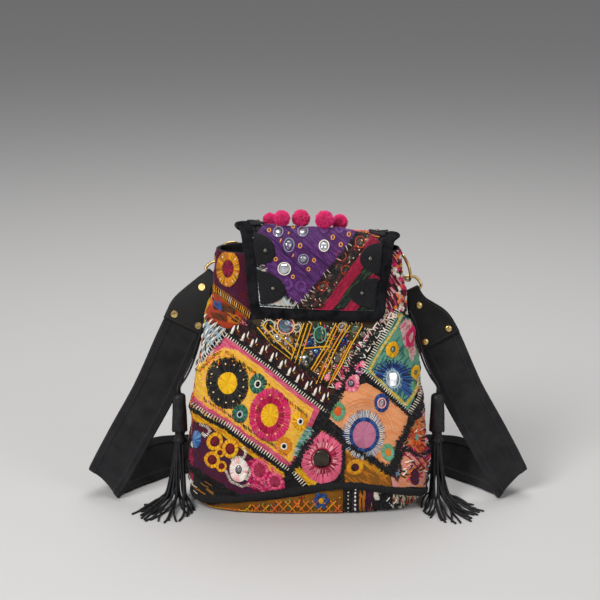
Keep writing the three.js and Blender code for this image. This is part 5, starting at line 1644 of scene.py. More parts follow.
front.lay(band([(380, 325), (356, 362), (330, 408)], 9), BLACK, 0.7, 0.5)
SEAMS = [
    (right_seam, 4.6), ([(380, 325), (356, 362), (330, 408)], 5.0),
    ([(318, 424), (350, 446), (388, 471)], 4.4),
    ([(387, 470), (402, 438), (410, 418), (427, 398)], 4.6), ([(336, 397), (325, 414), (318, 424)], 4.4),
    ([(226, 331), (262, 358), (330, 410)], 2.6), ([(190, 407), (240, 438), (290, 474)], 2.4),
    ([(364, 373), (386, 394), (408, 414)], 2.4), ([(389, 474), (403, 447), (418, 456), (432, 450)], 3.0),
    ([(180, 462), (213, 481), (240, 497)], 3.4), ([(342, 444), (342, 481)], 2.6),
    ([(247, 320), (264, 337), (331, 388)], 2.6),
]
for line, reach in SEAMS:
    seams.blanket(line, reach, [BLACK, BLACK, SOOT, CHARCOAL], 0.9, 2.0, 0.5)
    seams.blanket(line, reach * 0.7, [BLACK, SOOT], 1.1, 2.3, 0.5)
seams.blanket([(330, 388), (352, 356), (376, 326)], 3.0, [WHITE, BLUSH, SOOT, ROSE], 2.4, 2.6, 0.45)

# Small stitches along the yellow field's border
for line, colours in [
    ([(226, 351), (307, 415)], [PINE, SOOT, RUST, GOLD]),
    ([(203, 398), (288, 453)], [PINE, SOOT, RUST, PINK]),
    ([(198, 372), (222, 350)], [RUST, SOOT, ORANGE]),
]:
    work.teeth(line, (-1.4, 1.4), colours, 2.0, 2.0, 0.45, 0.9, 0.4)
    work.running([(x - 2, y + 3) for x, y in line], ORANGE, 4.2, 0.4, 1.9, 0.5)
for k in range(34):
    px, py = 200 + work.chance.uniform(0, 38), 352 + work.chance.uniform(0, 14)
    if py > 350 + abs(px - 224) * 0.62:
        work.knots([(px, py)], work.chance.choice([RUST, ORANGE, GOLD]), 1.0, 1.8)

front.put("front_patches", scrap_finish, "patchwork")
glass.put("front_mirrors", mirror_finish, "patchwork")
fields.put("front_fields")
work.put("front_needlework")
seams.put("front_seams")


# Both sides of the pouch go on in plainer patchwork: slanting rows of cotton and silk
# with a satin ring in some, and rough black stitches over every seam.


class Flank:
    """A side of the pouch, told by lengths round the cloth and down from its floor."""

    def __init__(self, side):
        self.side = side

    def find(self, run, down):
        limit = 222.0
        return self.side * np.minimum(run, limit), -down

    def at(self, across, z, lift=0.0):
        return pouch.at(across, np.clip(z, 2, MOUTH_HEIGHT - 2), lift)


FLANK_DYES = [
    (MAGENTA, [MAGENTA, CRIMSON]), (TEAL, [TEAL, SEA]), (GOLD, [GOLD, YELLOW]), (PLUM, [PLUM, WINE]),
    (PEACH, [PEACH, APRICOT]),
    (BLUE, [BLUE, NAVY]), (RUST, [RUST, ORANGE]), (MOSS, [MOSS, PINE]), (BLUSH, [BLUSH, PINK]),
    (OCHRE, [OCHRE, AMBER]),
]
FLANK_ROWS = 6
FLANK_END = 216
FLANK_SLANT = 9


def flank_corner(first, row, share, level, z):
    """A corner of a side's patch: the seams between the patches of a row lean."""
    start = first[level] - 4
    run = start + (FLANK_END - start) * share
    if 0 < share < 1:
        run += (FLANK_SLANT if row % 2 else -FLANK_SLANT) * (level - row - 0.5)
    return run, -z


for side, hand in ((-1, "left"), (1, "right")):
    flank = Flank(side)
    flank_patches, flank_work = Quilt(flank), Needle(flank, 70 + side)
    first = [126, 128, 130, 130, 124, 112, 104] if side < 0 else [128, 130, 132, 130, 126, 114, 104]
    floor_line, top = 24.0, MOUTH_HEIGHT - 6
    for row in range(FLANK_ROWS):
        low, high = (floor_line + (top - floor_line) * k / FLANK_ROWS for k in (row, row + 1))
        columns = np.linspace(0, 1, 4)
        for column in range(3):
            near, far = columns[column], columns[column + 1]
            outline = [
                flank_corner(first, row, near, row, low + 0.8), flank_corner(first, row, far, row, low + 0.8),
                flank_corner(first, row, far, row + 1, high - 0.8),
                flank_corner(first, row, near, row + 1, high - 0.8),
            ]
            colour, shades = FLANK_DYES[(row * 3 + column * 4 + (side > 0) * 5) % len(FLANK_DYES)]
            flank_patches.lay(outline, colour, 0.4, 0.5, 30 * row, cell=5.0)
            flank_work.fill(outline, 40 + 50 * ((row + column) % 2), shades, step=1.5, length=9,
                lift=1.1, radius=0.6)
            middle = np.mean(outline, axis=0)
            if (row + column) % 2:
                _, ring = FLANK_DYES[(row + column * 3 + 5) % len(FLANK_DYES)]
                flank_work.disc(*middle, 10, 12, 0.4, 1.0, ring, 1.7, 0.8, 1.2, 0.62)
                flank_work.disc(*middle, 10, 12, 0.0, 0.38, [YELLOW, GOLD], 1.7, 0.5, 1.2, 0.62)
            for a, b in zip(outline, outline[1:]):
                flank_work.blanket([a, b], 2.6, [BLACK, SOOT, BLACK, WHITE], 1.5, 1.9, 0.55)
    flank_patches.put(f"side_patches_{hand}", scrap_finish, "patchwork")
    flank_work.put(f"side_needlework_{hand}")


# The flap's patches: a purple diamond with mirrors over strips of net, crimson silk
# and dark brocade, with pale cotton showing at its lower left.

flap_patches = Quilt(flap)
flap_glass = Quilt(flap)
flap_fields = Needle(flap, 31)
flap_work = Needle(flap, 32)

FLAP_PATCHES = [
    {"dye": dye("b9c2c0"), "aim": 45, "lift": 0.4, "fill": [ICE, BONE, dye("c9cfcc")],
    "outline": [(255, 262), (263, 266), (296, 307), (292, 318), (262, 318), (250, 280)]},
    {"dye": dye("2b2a22"), "aim": -50, "lift": 0.4, "fill": [dye("2b2a22"), SOOT, dye("5a2a2a")],
    "outline": [
        (357, 233), (374, 234), (375, 245), (320, 317), (290, 318), (298, 305)]},
    {"dye": PINE, "aim": -52, "lift": 0.4, "fill": [PINE, PINE, MOSS, SOOT], "outline": [
        (378, 240), (386, 240), (384, 300), (372, 317), (318, 318)]},
    {"dye": dye("a3163c"), "aim": -52, "lift": 2.0, "fill": [dye("b01a44"), dye("a3163c"), CRIMSON],
    "outline": [
        (371, 238), (380, 244), (327, 317.5), (315, 317.5)]},
    {"dye": dye("a3163c"), "aim": -52, "lift": 2.0, "fill": [dye("b01a44"), CRIMSON, dye("a3163c")],
    "outline": [
        (372, 273), (380, 278), (350, 317.5), (338, 317.5)]},
    {"dye": ORANGE, "aim": 10, "lift": 0.4, "fill": [ORANGE, ROSE, GOLD, PINK], "outline": [
        (341, 226), (356, 228), (388, 236), (386, 241), (374, 239), (357, 235)]},
    {"dye": PURPLE, "aim": 40, "lift": 0.9, "fill": [PURPLE, PURPLE, VIOLET], "outline": [
        (268, 221), (300, 221), (340, 226), (357.5, 235), (330, 268), (298, 307), (281, 291), (263, 267),
        (255, 237)]},
]
for patch in FLAP_PATCHES:
    flap_patches.lay(patch["outline"], patch["dye"], FLAP_CLOTH / 2 + patch["lift"] * 0.6, 0.5,
        patch["aim"])
    if "fill" in patch:
        flap_fields.fill(patch["outline"], patch["aim"], patch["fill"],
            lift=FLAP_CLOTH / 2 + patch["lift"] * 0.6 + 0.95)

FLAP_MIRRORS = [
    (278, 235, 4.5, SILVER, dye("8a86a0")), (302.6, 234, 4.8, SILVER, dye("8a86a0")),
    (289, 246.4, 4.8, dye("a7a4b0"), dye("8a86a0")), (303.4, 259, 4.8, dye("a7a4b0"), dye("8a86a0")),
    (284.4, 268.5, 6, dye("dfe2e8"), WHITE), (323.8, 247, 4.6, dye("e2e6ec"), WHITE),
]
TONE_RINGS = [(301, 286, 6), (287.5, 284, 5.5), (324, 231, 5), (339, 233, 4.5)]
STRIP_PIECES = [
    (360, 244), (350, 257.5), (339, 267.5), (330.6, 276), (323, 286), (314, 296), (306, 306), (368, 241),
    (341, 256),
    (325, 300), (331, 290), (318, 311), (346, 270),
]
for px, py, r, colour, rim in FLAP_MIRRORS:
    flap_glass.lay(oval(px, py, r, r, 20), colour, 3.6, 0.25, cell=7)
    flap_work.loop(px, py, r + 0.3, r + 0.3, rim, 3.8, 0.6)
for px, py, r in TONE_RINGS:
    flap_work.disc(px, py, r, r, 0.55, 1.0, [VIOLET, PURPLE], 3.1, 0.5)
GOLD_RINGS = [
    (269, 233), (293, 229), (300, 247), (314, 260), (308.5, 269), (293, 276.5), (276, 259), (332.5, 240),
    (348.5, 238), (340.6, 246),
]
for px, py in GOLD_RINGS:
    flap_work.loop(px, py, 1.7, 2.0, dye("e8a03c"), 3.2, 0.6)
GOLD_GRAINS = [(277, 227), (288.5, 236), (280.6, 242.5), (293, 255)]
for px, py in GOLD_GRAINS:
    flap_work.grains([(px, py)], (1.6, -3.4), 1.6, dye("e8a03c"), 2.8)
for line in ([(264, 232.5), (315, 282)], [(281, 226), (330, 268)]):
    flap_work.rope(line, dye("200c40"), 2.9, 0.6)
for k, (px, py) in enumerate(STRIP_PIECES):
    shape = oval(px, py, 4.8, 4.4, 6, 0.28, flap_work.chance)
    flap_patches.lay(shape, [dye("8d8674"), BONE, dye("7b7668")][k % 3], 2.3, 0.2, cell=8)
    flap_work.loop(px, py, 5.0, 4.7, [SOOT, RUST][k % 4 == 0], 2.4, 0.6)
for k in range(60):
    t = flap_work.chance.uniform(0, 1)
    px, py = 372 - 66 * t + flap_work.chance.uniform(-9, 9), 240 + 74 * t + flap_work.chance.uniform(-4, 4)
    if px < 374 - (py - 244) * 0.77 and px > 358 - (py - 236) * 0.84 + 2:
        flap_work.knots([(px, py)], flap_work.chance.choice([BONE, RUST, SOOT, ROSE, PEACH]), 1.1, 2.1)
PALE_DOTS = [(259, 274), (286, 309), (270, 288), (276, 300), (290, 314), (264, 300)]
for px, py in PALE_DOTS:
    flap_work.disc(px, py, 2.6, 3, 0.0, 1.0, [ROSE, BLUSH], 2.1, 0.5)
purple_edge = [(255, 238), (262, 266), (281, 291), (298, 307), (330, 268), (357.5, 236)]
flap_work.blanket(purple_edge, 2.8, [BLACK, SOOT, BONE, BLACK], 1.3, 2.8, 0.42)
for line in ([(377, 241), (320, 317)], [(375, 278), (342, 317)]):
    flap_work.blanket([(x + 4, y + 1) for x, y in line], 1.4, [BLACK, SOOT], 1.8, 2.6, 0.4)
    flap_work.blanket([(x - 4, y - 1) for x, y in line], 1.4, [BLACK, SOOT], 1.8, 2.6, 0.4)
for k in range(120):
    t = flap_work.chance.uniform(0, 1)
    px, py = 380 - 54 * t + flap_work.chance.uniform(1, 10), 248 + 66 * t
    if py < 316 and px < 382:
        flap_work.knots([(px, py)], flap_work.chance.choice([dye("55684e"), MOSS, SOOT, PINE]), 0.7, 1.9)
flap_patches.put("flap_patches", scrap_finish, "patchwork")
flap_glass.put("flap_mirrors", mirror_finish, "patchwork")
flap_fields.put("flap_fields")
flap_work.put("flap_needlework")


# The base's patches show below the piping: a net of gold and brown diamonds, then
# black bars, blocks of silk and white corners.

base_patches = Quilt(pouch)
base_work = Needle(pouch, 51)
BASE_FIELD = [(182, 499), (230, 503), (262, 501), (305, 495), (343, 486), (344, 522), (182, 522)]
base_patches.lay(BASE_FIELD, OCHRE, 0.3, 0.5, 0)
BASE_BLOCKS = [
    (SOOT, [(344, 486), (352, 484), (352, 522), (344, 522)]),
    (dye("3a3040"), [(352, 484), (359, 483), (359, 522), (352, 522)]),
    (AMBER, [(359, 483), (365, 483), (365, 522), (359, 522)]),
    (PLUM, [(365, 483), (373, 486), (373, 522), (365, 522)]),
    (WHITE, [(373, 486), (380, 489), (380, 500), (373, 500)]),
    (SOOT, [(380, 489), (392, 491), (392, 522), (380, 522)]),
    (BONE, [(392, 491), (424, 489), (420, 520), (392, 520)]),
    (ORANGE, [(366, 502), (373, 502), (373, 514), (366, 514)]),
]
for colour, outline in BASE_BLOCKS:
    base_patches.lay(outline, colour, 0.35, 0.4, 0)
    base_work.fill(outline, 88, [colour, colour, SOOT], lift=1.0, length=6)
for start in range(150, 360, 9):
    for slope in (-1, 1):
        line = [(start + slope * k * 1.0 + (0 if slope > 0 else 24), 500 + k) for k in range(0, 24, 4)]
        line = [(x, y) for x, y in line if 184 < x < 343 and y > 505 - max(x - 240, 0) * 0.15]
        if len(line) > 1:
            base_work.rope(line, base_work.chance.choice([GOLD, AMBER, ORANGE]), 1.4, 0.75)
for k in range(210):
    px, py = 186 + base_work.chance.uniform(0, 155), 496 + base_work.chance.uniform(0, 22)
    if py > 506 - max(px - 240, 0) * 0.16:
        base_work.knots([(px, py)], base_work.chance.choice([LEAF, RUST, TEAL, dye("6b3a1a"), GOLD,
            CRIMSON]), 1.1, 1.3)
for angle in np.linspace(0, 2 * math.pi, 7)[:-1]:
    base_work.disc(321 + 5.5 * math.cos(angle), 500 + 5.5 * math.sin(angle), 2.6, 2.8, 0, 1,
        [BLUE, NAVY], 1.5, 0.6)
base_work.disc(321, 500, 2.4, 2.6, 0, 1, [GOLD], 1.7, 0.6)
for k in range(40):
    px, py = 382 + base_work.chance.uniform(0, 34), 490 + base_work.chance.uniform(0, 16)
    base_work.short((px, py), (px + base_work.chance.uniform(-4, 4), py + 4), 1.4, 0.7,
        base_work.chance.choice([WHITE, SOOT, BLACK, RUST]))
base_work.knots([(355, 488 + k * 4) for k in range(6)], WHITE, 1.5, 1.5)
base_work.knots([(348, 487 + k * 4) for k in range(7)], BONE, 1.1, 1.3)
base_patches.put("base_patches", scrap_finish, "patchwork")
base_work.put("base_needlework")


# The pompoms: five balls of pink wool sewn in a row along the flap's crest.

POMPOM_RADIUS = 9.0
POMPOMS = [
    {"across": -0.3, "along": 0.73, "size": 0.82},
    {"across": -0.225, "along": 0.62, "size": 0.96},
    {"across": -0.105, "along": 0.67, "size": 1.04},
    {"across": 0.042, "along": 0.63, "size": 1.08},
    {"across": 0.14, "along": 0.745, "size": 0.94},
]
POMPOM_FIBRES = 640

wool_finish = Finish("pink wool", roughness=0.95, sheen_weight=0.4)
wool_finish.give(base_color=wool_finish.attribute("dye"), sheen_tint=(1.0, 0.5, 0.7))

for i, spec in enumerate(POMPOMS):
    chance = random.Random(40 + i)
    radius = POMPOM_RADIUS * spec["size"]
    x = FLAP_SHIFT + spec["across"] * FLAP_WIDTH
    lift = FLAP_CLOTH / 2 + 0.3 + radius
    centre = flap.at([x], [spec["along"] * flap.whole], lift)[0]
    fibres = []
    for k in range(POMPOM_FIBRES):
        z = 1 - 2 * (k + 0.5) / POMPOM_FIBRES
        turn = k * 2.39996
        out = np.array([math.cos(turn) * math.sqrt(1 - z * z), math.sin(turn) * math.sqrt(1 - z * z), z])
        lean = np.array([chance.uniform(-1, 1) for _ in range(3)]) * 0.16
        tip = out + lean
        tip /= np.linalg.norm(tip)
        reach = radius * chance.uniform(0.9, 1.03)
        points = [centre + out * radius * 0.25, centre + (out + lean * 0.5) * radius * 0.66,
            centre + tip * reach]
        shade = chance.uniform(0.55, 1.15)
        dye = chance.choice([(0.86, 0.012, 0.2), (0.92, 0.03, 0.29), (0.78, 0.008, 0.13)])
        dye = tuple(round(c * (0.8 if shade < 0.8 else 1.0), 3) for c in dye)
        fibres.append({"points": np.array(points), "radius": [0.55, 0.62, 0.3], "dye": dye})
    mesh = threads(f"pompom_wool_{i + 1}", fibres, 4)
    put(f"pompom_wool_{i + 1}", mesh, wool_finish, "yarn", f"pompom_{i + 1}")


# The brass rings hang from cloth tabs at the pouch's back corners, and a D-ring in each
# carries the strap.

RING_RADIUS = 15.5
RING_WIRE = 1.5
RING_HEIGHT = 243.0
D_RING_WIDTH = 22.0
D_RING_HEIGHT = 16.0
TAB_WIDTH = 9.0
TAB_CLOTH = 1.6
TAB_LENGTH = 17.0
GAP = 0.3
RING_SIDES = [
    {
        "side": -1, "hand": "left", "reach": -0.105, "behind": 0.62, "spin": -20,
        "pull": (-0.67, 0.02, -0.74), "fall": 40, "twist": 32,
    },
    {
        "side": 1, "hand": "right", "reach": 0.03, "behind": 0.45, "spin": -68,
        "pull": (0.27, 0.03, -0.96), "fall": 24, "twist": 10,
    },
]


def unit(vector):
    vector = np.asarray(vector, dtype=float)
    return vector / np.linalg.norm(vector)


HOSE_SIDES = 14


def hose(name, line, radius):
    """A round wire along a closed line."""
    step = np.roll(line, -1, axis=0) - np.roll(line, 1, axis=0)
    along = step / np.linalg.norm(step, axis=1)[:, None]
    beside = [unit(np.cross(along[0], (0.31, 0.2, 0.93)))]
    for i in range(1, len(line)):
        turned = beside[-1] - along[i] * (beside[-1] @ along[i])
        beside.append(unit(turned))
    beside = np.array(beside)
    above = np.cross(along, beside)
    angle = np.linspace(0, 2 * math.pi, HOSE_SIDES + 1)
    points = line[:, None] + radius * (
        np.cos(angle)[None, :, None] * beside[:, None] + np.sin(angle)[None, :, None] * above[:, None]
    )
    points = np.concatenate([points, points[:1]])
    return sheet_mesh(name, points, closed=True)


def hairpin(name, place, length, wire, leaves, thickness, width_at, rows, puff=0.0):
    """A ribbon folded back on itself round a wire, with its two leaves on top of each
    other. place gives the points of lengths, widths and heights."""
    bend = wire + GAP + thickness / 2
    s = length * (1 - np.linspace(0, 1, rows))
    spread = bend + (leaves - bend) * np.minimum(s / (bend * 4), 1)
    angle = np.linspace(0, math.pi, 13)[1:-1]
    run = np.concatenate([s, -bend * np.sin(angle), s[::-1]])
    high = np.concatenate([spread, bend * np.cos(angle), -spread[::-1]])
    lean = np.concatenate([np.zeros(rows), -np.sin(angle), np.zeros(rows)])
    face = np.concatenate([np.ones(rows), np.cos(angle), -np.ones(rows)])
    share = np.array([-1, -0.985, -0.93, -0.8, -0.4, 0, 0.4, 0.8, 0.93, 0.985, 1])
    edge = np.array([0.1, 0.6, 0.92, 1, 1 + puff, 1 + puff, 1 + puff, 1, 0.92, 0.6, 0.1]) * thickness / 2
    skins = []
    for sign, order in ((1, slice(None)), (-1, slice(None, None, -1))):
        h = sign * edge[order]
        w = share[order]
        half = np.array([width_at(v) for v in run])[:, None] / 2
        skins.append(place(
            run[:, None] + lean[:, None] * h, half * w, high[:, None] + face[:, None] * h,
        ))
    loop = np.concatenate([*skins, skins[0][:, :1]], axis=1)
    return sheet_mesh(name, loop, closed=True, caps=True)


tab_finish = Finish("black twill tape", roughness=0.85, sheen_weight=0.05, specular_ior_level=0.1)
tab_place = tab_finish.place()
twill = tab_finish.wave(tab_place, "DIAGONAL", 420, 1)
tab_tone = tab_finish.noise(tab_place, 300, 3)
tab_finish.give(
    base_color=tab_finish.ramp(tab_tone, (0.3, (0.01, 0.01, 0.011)), (0.75, (0.026, 0.026, 0.028))),
    normal=tab_finish.bump(twill, 0.5, 0.0003),
)

strap_start = {}
for spec in RING_SIDES:
    side, hand = spec["side"], spec["hand"]
    wide = float(section(RING_HEIGHT)[0])
    centre = np.array([
        side * (wide + spec["reach"] * POUCH_WIDTH / 2),
        spec["behind"] * POUCH_DEPTH / 2,
        RING_HEIGHT - side * CREST_TILT * 50,
    ])
    away = unit(spec["pull"])
    spin = math.radians(spec["spin"])
    to_tab = np.array([-side * math.cos(spin), -math.sin(spin), 0.0])
    facing = unit(np.cross(to_tab, away))
    tangent = np.cross(facing, to_tab)
    angle = np.linspace(0, 2 * math.pi, 72, endpoint=False)[:, None]
    circle = centre + RING_RADIUS * (np.cos(angle) * to_tab + np.sin(angle) * tangent)
    ring_mesh = hose(f"ring_wire_{hand}", circle, RING_WIRE)
    put(f"ring_wire_{hand}", ring_mesh, brass_finish, "brass", f"ring_{hand}")

    hold = centre + to_tab * RING_RADIUS
    root = np.array([hold[0] - side * TAB_LENGTH, 0.0, hold[2]])
    wide, deep, square = (float(v) for v in section(hold[2]))
    narrow = (1 - (abs(root[0]) / wide) ** square) ** (1 / square)
    lean_out = sum(
        dent["swell"] * POUCH_DEPTH * math.exp(
            -(((0.5 - dent["turn"] - round(0.5 - dent["turn"])) / dent["across"]) ** 2)
            - ((hold[2] / MOUTH_HEIGHT - dent["up"]) / dent["tall"]) ** 2
        )
        for dent in DENTS
    )
    root[1] = deep * narrow + lean_out + TAB_CLOTH + GAP * 3
    run_length = float(np.linalg.norm(root - hold))
    run = unit(root - hold)
    rise = unit(tangent - run * (tangent @ run))
    upright = np.cross(run, rise)

    def tab_at(s, w, n, hold=hold, run=run, rise=rise, upright=upright):
        s, w, n = np.broadcast_arrays(s, w, n)
        return hold + s[..., None] * run + w[..., None] * rise + n[..., None] * upright

    bend = RING_WIRE + GAP * 4 + TAB_WIDTH**2 / 8 / RING_RADIUS
    leaves = TAB_CLOTH / 2 + GAP / 2
    tab_mesh = hairpin(f"tab_{hand}", tab_at, run_length, bend, leaves, TAB_CLOTH, lambda s: TAB_WIDTH, 12)
    put(f"tab_{hand}", tab_mesh, tab_finish, "canvas", f"ring_tab_{hand}")

    link = centre + away * (RING_RADIUS - 2 * RING_WIRE - GAP * 2.5)
    lean = math.radians(spec["fall"])
    down = unit((side * math.sin(lean), -0.06, -math.cos(lean)))
    across = np.array([math.cos(lean), 0.0, side * math.sin(lean)])
    across = unit(across - down * (across @ down))
    twist = side * math.radians(spec["twist"])
    across = np.array([
        across[0] * math.cos(twist) - across[1] * math.sin(twist),
        across[0] * math.sin(twist) + across[1] * math.cos(twist),
        across[2],
    ])
    across = unit(across - down * (across @ down))
    bar = link + down * D_RING_HEIGHT
    corner = D_RING_WIDTH / 2
    bow = D_RING_HEIGHT - corner
    shape = [(-corner * 0.8, 0), (0, 0), (corner * 0.8, 0), (corner, corner * 0.22)]
    shape += [
        (corner * math.cos(math.pi * k / 6), bow + corner * math.sin(math.pi * k / 6)) for k in range(7)
    ]
    shape.append((-corner, corner * 0.22))
    loop = np.array([bar + across * w - down * s for w, s in shape])
    fine = through(np.vstack([loop[-2:], loop, loop[:3]]), 12 * 15 + 1)[24:-25]
    d_mesh = hose(f"d_ring_wire_{hand}", fine, RING_WIRE)
    put(f"d_ring_wire_{hand}", d_mesh, brass_finish, "brass", f"d_ring_{hand}")
    strap_start[side] = (bar, down, across)


# The strap: black cotton canvas with both edges turned over and sewn down twice. It has
# fallen to the sides, turns over on the floor and goes round behind the bag on edge.

STRAP_WIDTH = 44.0
STRAP_THICK = 4.4
STRAP_SPREAD = 92.0
STRAP_TAPER = 46.0
CHAPE_NECK = 15.0
STRAP_ROUTE = [
    {"out": 0.135, "back": 0.46, "up": 0.672, "lies": (0.84, 0.1, 0.5)},
    {"out": 0.41, "back": 0.35, "up": 0.445, "lies": (0.84, 0.18, 0.52)},
    {"out": 0.7, "back": 0.22, "up": 0.25, "lies": (0.83, 0.22, 0.52)},
    {"out": 0.89, "back": 0.1, "up": 0.12, "lies": (0.76, 0.34, 0.56)},
    {"out": 0.96, "back": 0.06, "up": 0.066, "lies": (0.68, 0.44, 0.59)},
    {"out": 0.93, "back": 0.26, "up": 0.056, "lies": (0.52, 0.58, 0.63)},
    {"out": 0.8, "back": 0.54, "up": 0.064, "lies": (0.2, 0.7, 0.68)},
    {"out": 0.54, "back": 0.98, "up": 0.066, "lies": (-0.1, 0.7, 0.7)},
    {"out": 0.24, "back": 1.44, "up": 0.066, "lies": (-0.14, 0.7, 0.7)},
    {"out": -0.4, "back": 1.72, "up": 0.066, "lies": (-0.05, 0.72, 0.7)},
]

half_routes = {}
for side in (1, -1):
    bar, down, across = strap_start[side]
    middles, widths = [bar, bar + down * 14], [across, across]
    for row in STRAP_ROUTE:
        middles.append(np.array([
            side * (POUCH_WIDTH / 2 + row["out"] * STRAP_SPREAD),
            row["back"] * POUCH_DEPTH / 2,
            row["up"] * RING_HEIGHT,
        ]))
        wx, wy, wz = row["lies"]
        widths.append(unit((wx, side * wy, side * wz)))
    half_routes[side] = (middles, widths)
behind = (np.array([0, 1.78 * POUCH_DEPTH / 2, 0.066 * RING_HEIGHT]), unit((0, 0.72, 0.7)))
route_points = [*half_routes[1][0], behind[0], *half_routes[-1][0][::-1]]
route_widths = [*half_routes[1][1], behind[1], *[-w for w in half_routes[-1][1][::-1]]]
strap_line = through(route_points, 4001)
strap_turn = through(route_widths, 4001, "even")
strap_run = np.concatenate([[0], np.cumsum(np.linalg.norm(np.diff(strap_line, axis=0), axis=1))])
STRAP_LENGTH = float(strap_run[-1])
strap_along = np.gradient(strap_line, axis=0)


def strap_at(s, w, n):
    """Points beside the strap's middle line: s along it, w across it and n out of it."""
    s, w, n = np.broadcast_arrays(np.asarray(s, dtype=float), w, n)
    inside = np.clip(s, 0, STRAP_LENGTH)

    def look(table):
        return np.stack([np.interp(inside, strap_run, table[:, k]) for k in range(3)], axis=-1)

    point, along, wide = look(strap_line), look(strap_along), look(strap_turn)
    along /= np.linalg.norm(along, axis=-1)[..., None]
    wide -= along * (wide * along).sum(axis=-1)[..., None]
    wide /= np.linalg.norm(wide, axis=-1)[..., None]
    out = np.cross(wide, along)
    return point + along * (s - inside)[..., None] + wide * w[..., None] + out * n[..., None]


def strap_share(s):
    t = np.clip(np.minimum(s, STRAP_LENGTH - np.asarray(s)) / STRAP_TAPER, 0, 1)
    neck = CHAPE_NECK / STRAP_WIDTH
    return neck + (1 - neck) * t * t * (3 - 2 * t)


canvas_finish = Finish("strap canvas", roughness=0.86, sheen_weight=0.05, specular_ior_level=0.1)
canvas_uv = canvas_finish.place("UV")
canvas_warp = canvas_finish.wave(canvas_uv, "X", 0.5, 0.6)
canvas_weft = canvas_finish.wave(canvas_uv, "Y", 0.5, 0.6)
canvas_wear = canvas_finish.noise(canvas_uv, 0.06, 5, 0.6)
canvas_lint = canvas_finish.noise(canvas_uv, 1.1, 3)
canvas_finish.give(
    base_color=canvas_finish.ramp(
        canvas_wear * 0.6 + canvas_lint * 0.4, (0.35, (0.011, 0.011, 0.012)), (0.7, (0.03, 0.03, 0.032))
    ),
    normal=canvas_finish.bump(canvas_warp + canvas_weft, 0.55, 0.0004),
)

edge, full = STRAP_WIDTH / 2, STRAP_THICK / 2
half_section = [
    (-1.0, 0.25), (-0.99, 0.55), (-0.96, 0.78), (-0.9, 0.92), (-0.8, 0.96), (-0.72, 1.0), (-0.66, 0.98),
    (-0.632, 0.86), (-0.615, 0.7), (-0.5, 0.68), (-0.25, 0.7), (0.0, 0.72),
]
top_side = half_section + [(-w, n) for w, n in half_section[-2::-1]]
strap_section = np.array(top_side + [(w, -n) for w, n in top_side[::-1]] + top_side[:1])
strap_s = np.linspace(0.3, STRAP_LENGTH - 0.3, 620)[:, None]
strap_w = strap_section[:, 0] * edge * strap_share(strap_s)
wrinkle = 0.5 * np.sin(strap_s * 0.055 + strap_w * 0.11) + 0.35 * np.sin(strap_s * 0.13 - strap_w * 0.2 + 2)
strap_n = strap_section[:, 1] * full + wrinkle * 0.8
strap_points = strap_at(strap_s, strap_w, strap_n)
sink = np.maximum(0.15 - strap_points[..., 2].min(axis=1), 0)
strap_points[..., 2] += sink[:, None]
ribbon_place = np.concatenate([[0], np.cumsum(np.hypot(*np.diff(strap_section * (edge, full), axis=0).T))])
strap_uv = np.stack(np.broadcast_arrays(ribbon_place[None, :], strap_s), axis=-1)
strap_mesh = sheet_mesh("strap_canvas", strap_points, strap_uv, closed=True, caps=True)
put("strap_canvas", strap_mesh, canvas_finish, "canvas", "strap")

seams = []
for row in (-0.93, -0.66, 0.66, 0.93):
    for face in (-1, 1):
        lift = 1.0 if abs(row) < 0.9 else 0.9
        for s in np.arange(STRAP_TAPER, STRAP_LENGTH - STRAP_TAPER, 3.4):
            run = s + np.array([0, 1.2, 2.4])
            w = row * edge * strap_share(run)
            bumps = 0.5 * np.sin(run * 0.055 + w * 0.11) + 0.35 * np.sin(run * 0.13 - w * 0.2 + 2)
            n = face * (full * lift + np.array([-0.1, 0.16, -0.1])) + bumps * 0.8
            points = strap_at(run, w, n)
            points[:, 2] += np.interp(run, strap_s[:, 0], sink)
            if points[:, 2].min() > 0.2:
                seams.append({"points": points, "radius": 0.26, "dye": (0.035, 0.035, 0.04)})
put("strap_stitches", threads("strap_stitches", seams, 4), thread_finish, "canvas")


# The chapes: ends of black leather folded through the D-rings over both faces of the
# strap, sewn round and held by three brass rivets each.

LEATHER = 1.8
CHAPE_LENGTH = 60.0
RIVET_RADIUS = 3.6
RIVET_RISE = 1.6
RIVETS = [{"along": 0.25, "across": 0.0}, {"along": 0.87, "across": -0.31}, {"along": 0.87, "across": 0.31}]

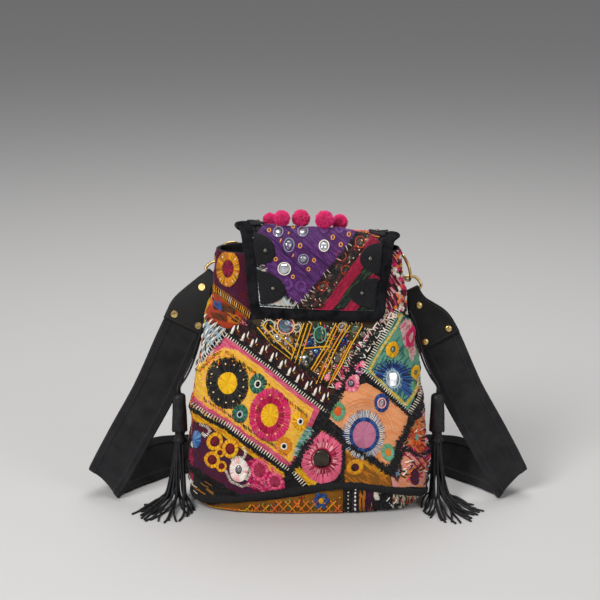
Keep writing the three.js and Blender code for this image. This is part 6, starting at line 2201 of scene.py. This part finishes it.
leather_finish = Finish("black leather", roughness=0.55, specular_ior_level=0.16)
leather_place = leather_finish.place()
grain = leather_finish.node("TexVoronoi", {"feature": "DISTANCE_TO_EDGE"},
    {"Vector": leather_place, "Scale": 900})
crease = leather_finish.noise(leather_place, 60, 5, 0.6)
leather_finish.give(
    base_color=leather_finish.ramp(crease, (0.35, (0.006, 0.006, 0.006)), (0.75, (0.018, 0.017, 0.016))),
    roughness=leather_finish.level(crease, 0.3, 0.7, 0.44, 0.7),
    normal=leather_finish.bump(grain + crease * 0.6, 0.5, 0.0003),
)
chape_leaves = full + GAP * 1.6 + LEATHER / 2
chape_face = chape_leaves + LEATHER / 2


class Ribbon:
    """One face of the strap near its end, as a surface for studs and stitches."""

    def __init__(self, side):
        self.side = side

    def place(self, s, w, n):
        return strap_at(s if self.side > 0 else STRAP_LENGTH - np.asarray(s), w, n)

    def at(self, w, s, lift=0.0):
        return self.place(np.asarray(s, dtype=float), np.asarray(w, dtype=float), lift)


def chape_width(s):
    return STRAP_WIDTH * float(strap_share(max(s, 0))) + 0.8


for side, hand in ((1, "right"), (-1, "left")):
    ribbon = Ribbon(side)
    name = f"chape_leather_{hand}"
    mesh = hairpin(name, ribbon.place, CHAPE_LENGTH, RING_WIRE, chape_leaves, LEATHER, chape_width, 40,
        0.05)
    put(name, mesh, leather_finish, "leather", f"chape_{hand}")
    round_edge = []
    for sign in (-1, 1):
        s = np.linspace(12, CHAPE_LENGTH - 2, 30)
        round_edge.append([(sign * (chape_width(v) / 2 - 2), v) for v in s])
    round_edge.append([(w, CHAPE_LENGTH - 2.2) for w in np.linspace(-20, 20, 16)])
    sewn = []
    for line in round_edge:
        for face in (1, -1):
            sewn += dashes(ribbon, line, 2.8, 0.66, face * chape_face, 0.26, (0.04, 0.038, 0.036),
                face * 0.12)
    put(f"chape_stitches_{hand}", threads(f"chape_stitches_{hand}", sewn, 4), thread_finish, "leather")
    for i, row in enumerate(RIVETS):
        w, s = row["across"] * STRAP_WIDTH, row["along"] * CHAPE_LENGTH
        cap = (ribbon, w, s, chape_face + 0.2, RIVET_RADIUS, RIVET_RISE, brass_finish, "brass")
        stud(f"rivet_cap_{i + 1}_{hand}", *cap, f"rivet_{i + 1}_{hand}")
        burr = (ribbon, w, s, -chape_face - 0.2, RIVET_RADIUS, -RIVET_RISE, brass_finish, "brass")
        stud(f"rivet_burr_{i + 1}_{hand}", *burr)


# Both boxes are gathered: the model's before and after it is dressed.

boxes = {"cad": cad_box, "scene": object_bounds()}
{key: [list(map(float, corner)) for corner in box] for key, box in boxes.items()}
